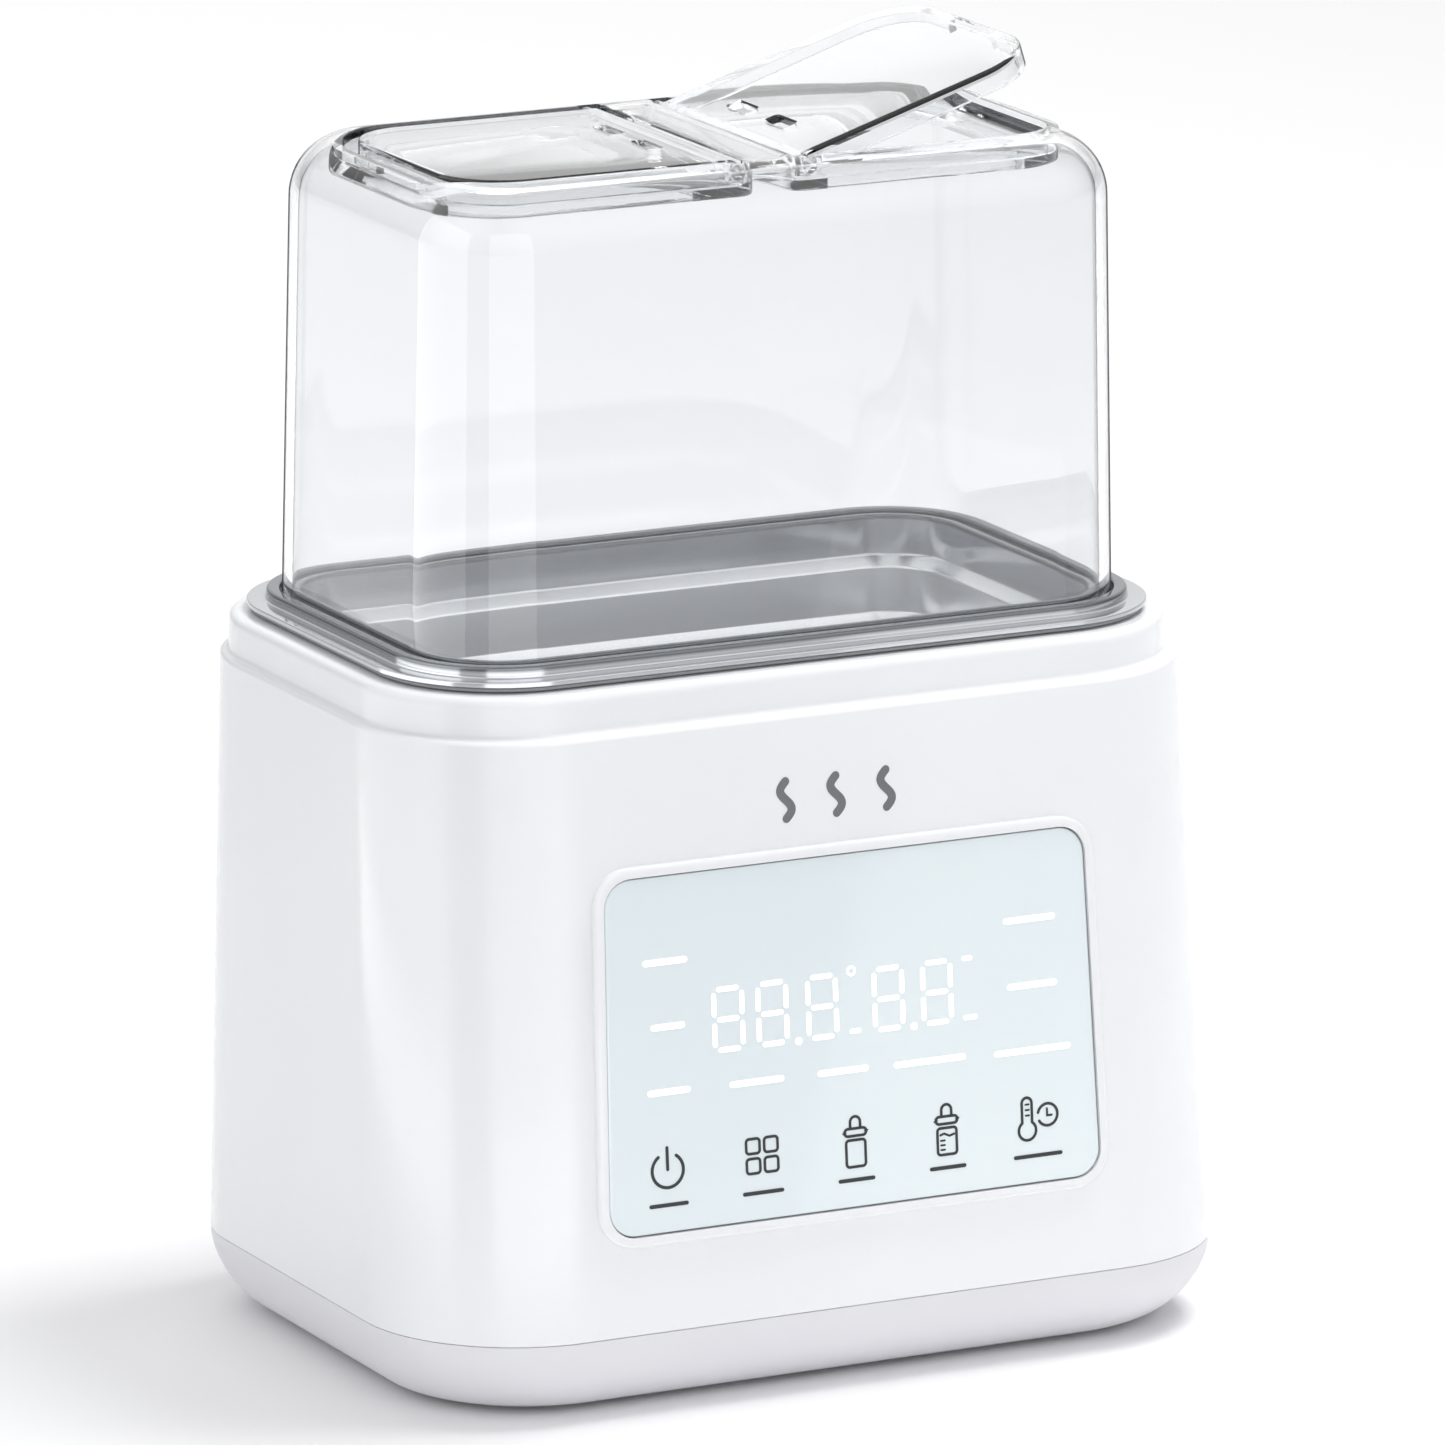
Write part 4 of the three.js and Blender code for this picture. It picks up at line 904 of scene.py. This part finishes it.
def inkPiece(name, strokes, height):
    # Strokes in the panel's own plane, standing a hair above the surface at that height.
    low, high = height, height + ink["thickness"]
    vertices, faces = [], []
    for loops in strokes:
        start = len(vertices)
        count = len(loops[0])
        for loop in loops:
            for z in (low, high):
                vertices += [panelPlace @ (Vector((p[0], p[1], z)) * mm) for p in loop]
        for k in range(count):
            n = (k + 1) % count
            if len(loops) == 1:
                faces.append((start + k, start + n, start + count + n, start + count + k))
            else:
                a, b, c, d = start, start + count, start + 2 * count, start + 3 * count
                faces.append((a + k, a + n, b + n, b + k))
                faces.append((c + k, d + k, d + n, c + n))
                faces.append((b + k, b + n, d + n, d + k))
                faces.append((a + k, c + k, c + n, a + n))
        if len(loops) == 1:
            faces.append(tuple(start + k for k in reversed(range(count))))
            faces.append(tuple(start + count + k for k in range(count)))
    return makeObject(name, vertices, faces)


def panelY(z):
    return (z - panel["middleZ"]) / math.cos(panelTilt)


display = {"digits": (-29.2, -18.7, -6.8, 9.1, 20.8), "middle": 83.7, "height": 14.2, "width": 7.8,
           "stroke": 1.15, "gap": 1.25, "dots": ((-12.7, 77.0), (15.0, 77.0))}


def digitStrokes(x, y):
    # The seven bars of one figure.
    halfX = display["width"] / 2 - display["stroke"] / 2
    halfY = display["height"] / 2 - display["stroke"] / 2
    gap = display["gap"]
    strokes = []
    for level in (-halfY, 0, halfY):
        strokes.append(ribbon([(x - halfX + gap, y + level), (x + halfX - gap, y + level)], display["stroke"]))
    for side in (-halfX, halfX):
        for low, high in ((-halfY, 0), (0, halfY)):
            strokes.append(ribbon([(x + side, y + low + gap), (x + side, y + high - gap)], display["stroke"]))
    return strokes


def dot(x, y, radius):
    return [[Vector(p) for p in arc(x, y, radius, 0, 360 - 22.5, 15)]]


lamps = {"places": ((-43.7, 97.6, 4.6), (-43.6, 83.7, 3.4), (-43.9, 69.8, 4.4), (43.6, 97.0, 5.6), (43.8, 82.7, 5.4),
                    (43.3, 68.6, 8.6), (-23.0, 69.5, 5.8), (-2.4, 69.4, 5.4), (18.5, 69.1, 8.0)),
         "units": ((28.3, 90.2, 0.7), (0.9, 77.6, 0.8), (28.6, 77.4, 1.2)), "degree": (0.4, 90.6, 0.9), "stroke": 1.4}
litStrokes = []
for x in display["digits"]:
    litStrokes += digitStrokes(x, panelY(display["middle"]))
for x, z in display["dots"]:
    litStrokes.append(dot(x, panelY(z), 0.85))
for x, z, half in lamps["places"]:
    litStrokes.append(ribbon([(x - half, panelY(z)), (x + half, panelY(z))], lamps["stroke"]))
for x, z, half in lamps["units"]:
    litStrokes.append(ribbon([(x - half, panelY(z)), (x + half, panelY(z))], lamps["stroke"] * 0.8))
x, z, radius = lamps["degree"]
litStrokes.append(ribbon(arc(x, panelY(z), radius, 0, 330, 11), 0.5, True))
printHeight = panel["proud"] + 0.02
finishPiece(inkPiece("panel_figures", litStrokes, printHeight), whiteInk, "base", "panel_glass", angle=20)

keys = {"x": (-44.9, -22.4, 0.0, 22.0, 43.9), "z": 53.6, "captionZ": 45.6, "caption": (8.5, 9.0, 8.0, 8.0, 11.0)}


def bottleIcon(x, y, level):
    line = ink["line"]
    strokes = [
        ribbon(roundRect(x, y - 2.3, 2.3, 2.9, 0.7), line, True),
        ribbon(roundRect(x, y + 2.3, 2.6, 0.8, 0.8), line, True),
        ribbon([(x - 1.2, y + 3.3), (x - 1.2, y + 4.3)] + arc(x, y + 4.5, 1.2, 180, 0, 10) + [(x + 1.2, y + 3.3)], line),
    ]
    if level:
        strokes.append(ribbon([(x - 1.6, y - 0.9), (x - 0.7, y - 0.6), (x + 0.6, y - 1.2), (x + 1.7, y - 0.9)], line * 0.8))
        for k in range(3):
            strokes.append(ribbon([(x - 1.5, y - 2.1 - k), (x - 0.6, y - 2.1 - k)], line * 0.7))
    return strokes


def keyStrokes():
    line = ink["line"]
    y = panelY(keys["z"])
    power, function, material, volume, clock = keys["x"]
    strokes = [ribbon(arc(power, y - 0.6, 3.7, 125, 415, 28), line * 1.15),
               ribbon([(power, y - 0.4), (power, y + 4.3)], line * 1.15)]
    for sx in (-1, 1):
        for sy in (-1, 1):
            strokes.append(ribbon(roundRect(function + sx * 2.15, y + sy * 2.15, 1.6, 1.6, 0.7), line, True))
    strokes += bottleIcon(material, y, False)
    strokes += bottleIcon(volume, y, True)
    bulbX = clock - 2.4
    bulb = arc(bulbX, y - 2.4, 2.1, 125, 415, 22)
    tube = [(bulbX + 1.2, y + 3.4)] + arc(bulbX, y + 3.6, 1.2, 0, 180, 10) + [(bulbX - 1.2, y + 3.4)]
    strokes.append(ribbon(bulb + tube, line, True))
    for k in range(3):
        strokes.append(ribbon([(bulbX - 0.3, y + 3.3 - 1.2 * k), (bulbX + 0.5, y + 3.3 - 1.2 * k)], line * 0.7))
    strokes.append(ribbon(arc(clock + 2.6, y + 0.6, 2.4, -150, 165, 24), line))
    strokes.append(ribbon([(clock + 2.5, y + 1.9), (clock + 2.5, y + 0.4), (clock + 3.6, y + 0.4)], line * 0.8))
    captionY = panelY(keys["captionZ"])
    for x, length in zip(keys["x"], keys["caption"]):
        strokes.append(ribbon([(x - length / 2, captionY), (x + length / 2, captionY)], line * 1.4))
    return strokes


finishPiece(inkPiece("key_marks", keyStrokes(), printHeight), darkInk, "base", "panel_glass", angle=20)

emblem = {"x": -1.0, "z": 128.6, "waves": 3, "pitch": 12.0, "height": 8.0, "swing": 1.3, "line": 1.9}


def emblemStrokes():
    # Three curls of steam, the usual sign for steaming.
    strokes = []
    y = panelY(emblem["z"])
    for k in range(emblem["waves"]):
        x = emblem["x"] + (k - (emblem["waves"] - 1) / 2) * emblem["pitch"]
        points = []
        for step in range(33):
            t = step / 32
            points.append((x + emblem["swing"] * math.sin(2 * math.pi * t), y + emblem["height"] * (t - 0.5)))
        strokes.append(ribbon(points, emblem["line"]))
    return strokes


finishPiece(inkPiece("steam_sign", emblemStrokes(), 0.02), greyInk, "base", "white_abs", angle=20)
print("panel made")

# Power inlet

inlet = {"openX": 12.2, "openZ": 6.2, "flange": 1.5, "corner": 3.0, "socketWall": 1.5, "depth": 16, "floor": 1.5}


def makeInlet():
    low, high = inletLow / mm, inletHigh / mm
    middle = (low + high) / 2
    halfX, halfZ = (high.x - low.x) / 2, (high.z - low.z) / 2
    outline = lambda grow: roundedBox(halfX + grow, -halfZ - grow, halfZ + grow, inlet["corner"] + grow, 8)
    flange = filletPath([(0, -inlet["flange"], 0), (0, 0, 0.8), (-2, 0, 0)], 4)
    plate = prism("mains_inlet", outline, flange)
    box = lambda grow: roundedBox(inlet["openX"] + grow, -inlet["openZ"] - grow, inlet["openZ"] + grow, 1.2 + grow, 6)
    body = prism("body", box, [(0, -(high.y - low.y)), (0, -inlet["flange"] / 2)])
    join(plate, body)
    wall = inlet["socketWall"]
    # a figure-of-eight opening that a two-pin appliance plug fits
    eight = lambda grow: roundedBox(inlet["openX"] - wall + grow, -inlet["openZ"] + wall - grow,
                                    inlet["openZ"] - wall + grow, 4.4 + grow, 10)
    socket = prism("socket", eight, [(0, -(high.y - low.y) + inlet["floor"]), (0, -0.6), (0.8, 0.6)])
    tools = [socket]
    for name in ("inlet_blade_left", "inlet_blade_right"):
        bladeLow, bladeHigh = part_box(name)
        x = (bladeLow.x + bladeHigh.x) / 2 / mm - middle.x
        slot = lambda grow, x=x: [(x + px, py) for px, py in roundedBox(1.5, -1.5, 1.5, 0.2, 2)]
        tools.append(prism("slot", slot, [(0, -30), (0, -10)]))
    cut(plate, *tools)
    # local x is world -x seen from behind, and local z points back
    turn = Matrix.Rotation(math.pi, 4, "Z") @ Matrix.Rotation(math.pi / 2, 4, "X")
    return place(plate, shift(middle.x, high.y, middle.z) @ turn)


finishPiece(makeInlet(), blackPlastic, "base", "black_plastic", "power_inlet")


def makeBlade(name):
    low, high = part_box(name)
    low, high = low / mm, high / mm
    half = (high.x - low.x) / 2
    length = high.y - low.y
    outline = lambda grow: roundedBox(half + grow, -half - grow, half + grow, half * 0.55 + grow * 0.5, 6)
    path = filletPath([(0, -length, 0), (0, 0, 0.9), (-half * 0.8, 0, 0)], 4)
    blade = prism(name + "_piece", outline, path)
    turn = Matrix.Rotation(math.pi, 4, "Z") @ Matrix.Rotation(math.pi / 2, 4, "X")
    return place(blade, shift((low.x + high.x) / 2, high.y, (low.z + high.z) / 2) @ turn)


for name in ("inlet_blade_left", "inlet_blade_right"):
    finishPiece(makeBlade(name), brassMetal, "base", "brass", name)
print("inlet made")

# Studio

studio = {"floor": 30.0, "sky": 0.52, "frontLight": 0.42, "behind": 1.05, "low": 0.5, "high": 1.15, "bands": 3,
          "swing": 0.22}


def makeFloor():
    half = studio["floor"] / 2
    floor = makeObject("studio_floor", [(-half, -half, 0), (half, -half, 0), (half, half, 0), (-half, half, 0)],
                       [(0, 1, 2, 3)])
    material, tree, surface, output, place = startMaterial("white_floor")
    surface.inputs["Base Color"].default_value = colour("#fbfbfc")
    surface.inputs["Roughness"].default_value = 0.9
    floor.data.materials.append(material)


def makeWorld():
    # Plain light on what is matt, white behind the object, and soft upright bands for gloss and glass.
    world = bpy.data.worlds.new("studio")
    bpy.context.scene.world = world
    world.use_nodes = True
    tree = world.node_tree
    tree.nodes.clear()
    ray = addNode(tree, "LightPath")
    place = addNode(tree, "TexCoord").outputs["Generated"]
    way = addNode(tree, "SeparateXYZ", links={0: place})
    rise = addNode(tree, "MapRange", {"From Min": 0.0, "From Max": 0.6, "To Min": studio["low"],
                                      "To Max": studio["high"]}, {"Value": way.outputs["Z"]}).outputs["Result"]
    heading = addNode(tree, "Math", links={0: way.outputs["X"], 1: way.outputs["Y"]}, operation="ARCTAN2")
    turns = addNode(tree, "Math", {1: studio["bands"]}, {0: heading.outputs["Value"]}, operation="MULTIPLY")
    wave = addNode(tree, "Math", links={0: turns.outputs["Value"]}, operation="SINE")
    bands = addNode(tree, "Math", {1: studio["swing"]}, {0: wave.outputs["Value"], 2: rise},
                    operation="MULTIPLY_ADD").outputs["Value"]
    shine = addNode(tree, "Background", {"Color": (1, 1, 1, 1)}, {"Strength": bands})
    forward = addNode(tree, "VectorMath", {1: (-0.55, -0.84, 0)}, {0: place}, operation="DOT_PRODUCT")
    dome = addNode(tree, "Math", {1: studio["frontLight"], 2: studio["sky"]}, {0: forward.outputs["Value"]},
                   operation="MULTIPLY_ADD")
    sky = addNode(tree, "Background", {"Color": (1, 1, 1, 1)}, {"Strength": dome.outputs["Value"]})
    behind = addNode(tree, "Background", {"Color": (1, 1, 1, 1), "Strength": studio["behind"]})
    matt = addNode(tree, "MixShader", links={0: ray.outputs["Is Diffuse Ray"], 1: shine.outputs[0],
                                             2: sky.outputs[0]})
    mixed = addNode(tree, "MixShader", links={0: ray.outputs["Is Camera Ray"], 1: matt.outputs[0],
                                              2: behind.outputs[0]})
    addNode(tree, "OutputWorld", links={"Surface": mixed.outputs[0]})


def makeLamp(name, place, target, size, power, roll=0.0, shines=True, lights=True):
    # A softbox. One that only shines is seen in gloss, and one that only lights is not.
    data = bpy.data.lights.new(name, "AREA")
    data.shape = "RECTANGLE"
    data.size, data.size_y = size
    data.energy = power
    lamp = bpy.data.objects.new(name, data)
    bpy.context.scene.collection.objects.link(lamp)
    aim = (Vector(target) - Vector(place)).to_track_quat("-Z", "Y").to_matrix().to_4x4()
    lamp.matrix_world = Matrix.Translation(place) @ aim @ Matrix.Rotation(math.radians(roll), 4, "Z")
    lamp.visible_camera = False
    lamp.visible_glossy = shines
    lamp.visible_diffuse = lights
    lamp.visible_transmission = False


def makeCard(name, heading, distance, middle, size, radiance, roll=0.0):
    # A glowing card that stands round the object, at a heading in degrees from the front towards the left.
    turn = math.radians(heading)
    place = (-math.sin(turn) * distance, -math.cos(turn) * distance, middle)
    makeLamp(name, place, (0, 0, middle), size, radiance * math.pi * size[0] * size[1], roll, lights=False)


def makeCamera():
    settings = {"target": (0, -0.9, 130), "azimuth": -27.07, "elevation": 13.69, "roll": 0.234,
                "distance": 2827.4, "lens": 325.6, "right": 2.41, "up": 0.885}
    turn, rise, roll = (math.radians(settings[k]) for k in ("azimuth", "elevation", "roll"))
    back = Vector((math.sin(turn) * math.cos(rise), -math.cos(turn) * math.cos(rise), math.sin(rise)))
    right = Vector((math.cos(turn), math.sin(turn), 0))
    up = back.cross(right)
    rolledRight = right * math.cos(roll) + up * math.sin(roll)
    rolledUp = up * math.cos(roll) - right * math.sin(roll)
    data = bpy.data.cameras.new("camera")
    data.lens = settings["lens"]
    data.sensor_width = 36
    data.clip_end = 100
    camera = bpy.data.objects.new("camera", data)
    bpy.context.scene.collection.objects.link(camera)
    spot = Vector(settings["target"]) + back * settings["distance"]
    spot += rolledRight * settings["right"] + rolledUp * settings["up"]
    axes = Matrix((rolledRight, rolledUp, back)).transposed().to_4x4()
    camera.matrix_world = Matrix.Translation(spot * mm) @ axes
    bpy.context.scene.camera = camera


makeFloor()
makeWorld()
makeLamp("overhead_softbox", (0.45, -0.04, 1.25), (0, 0, 0.05), (0.5, 0.5), 9.5, shines=False)
makeLamp("background_softbox", (0.2, 1.4, 1.5), (0.2, 1.4, 0), (1.8, 1.0), 11, shines=False)
makeCard("front_left_card", 16, 0.42, 0.03, (0.4, 0.06), 2.2)
makeCard("front_left_card_top", 16, 0.42, 0.3, (0.4, 0.46), 1.2)
makeCard("left_card", 100, 0.42, 0.03, (0.6, 0.06), 2.2)
makeCard("left_card_top", 100, 0.42, 0.3, (0.6, 0.46), 1.2)
makeLamp("panel_card", (0.112, -0.2, 0.07), (0.112, 0, 0.07), (0.09, 0.2), 0.024, roll=-17, lights=False)
makeCamera()
bpy.context.scene.view_settings.view_transform = "Standard"
print("studio made")
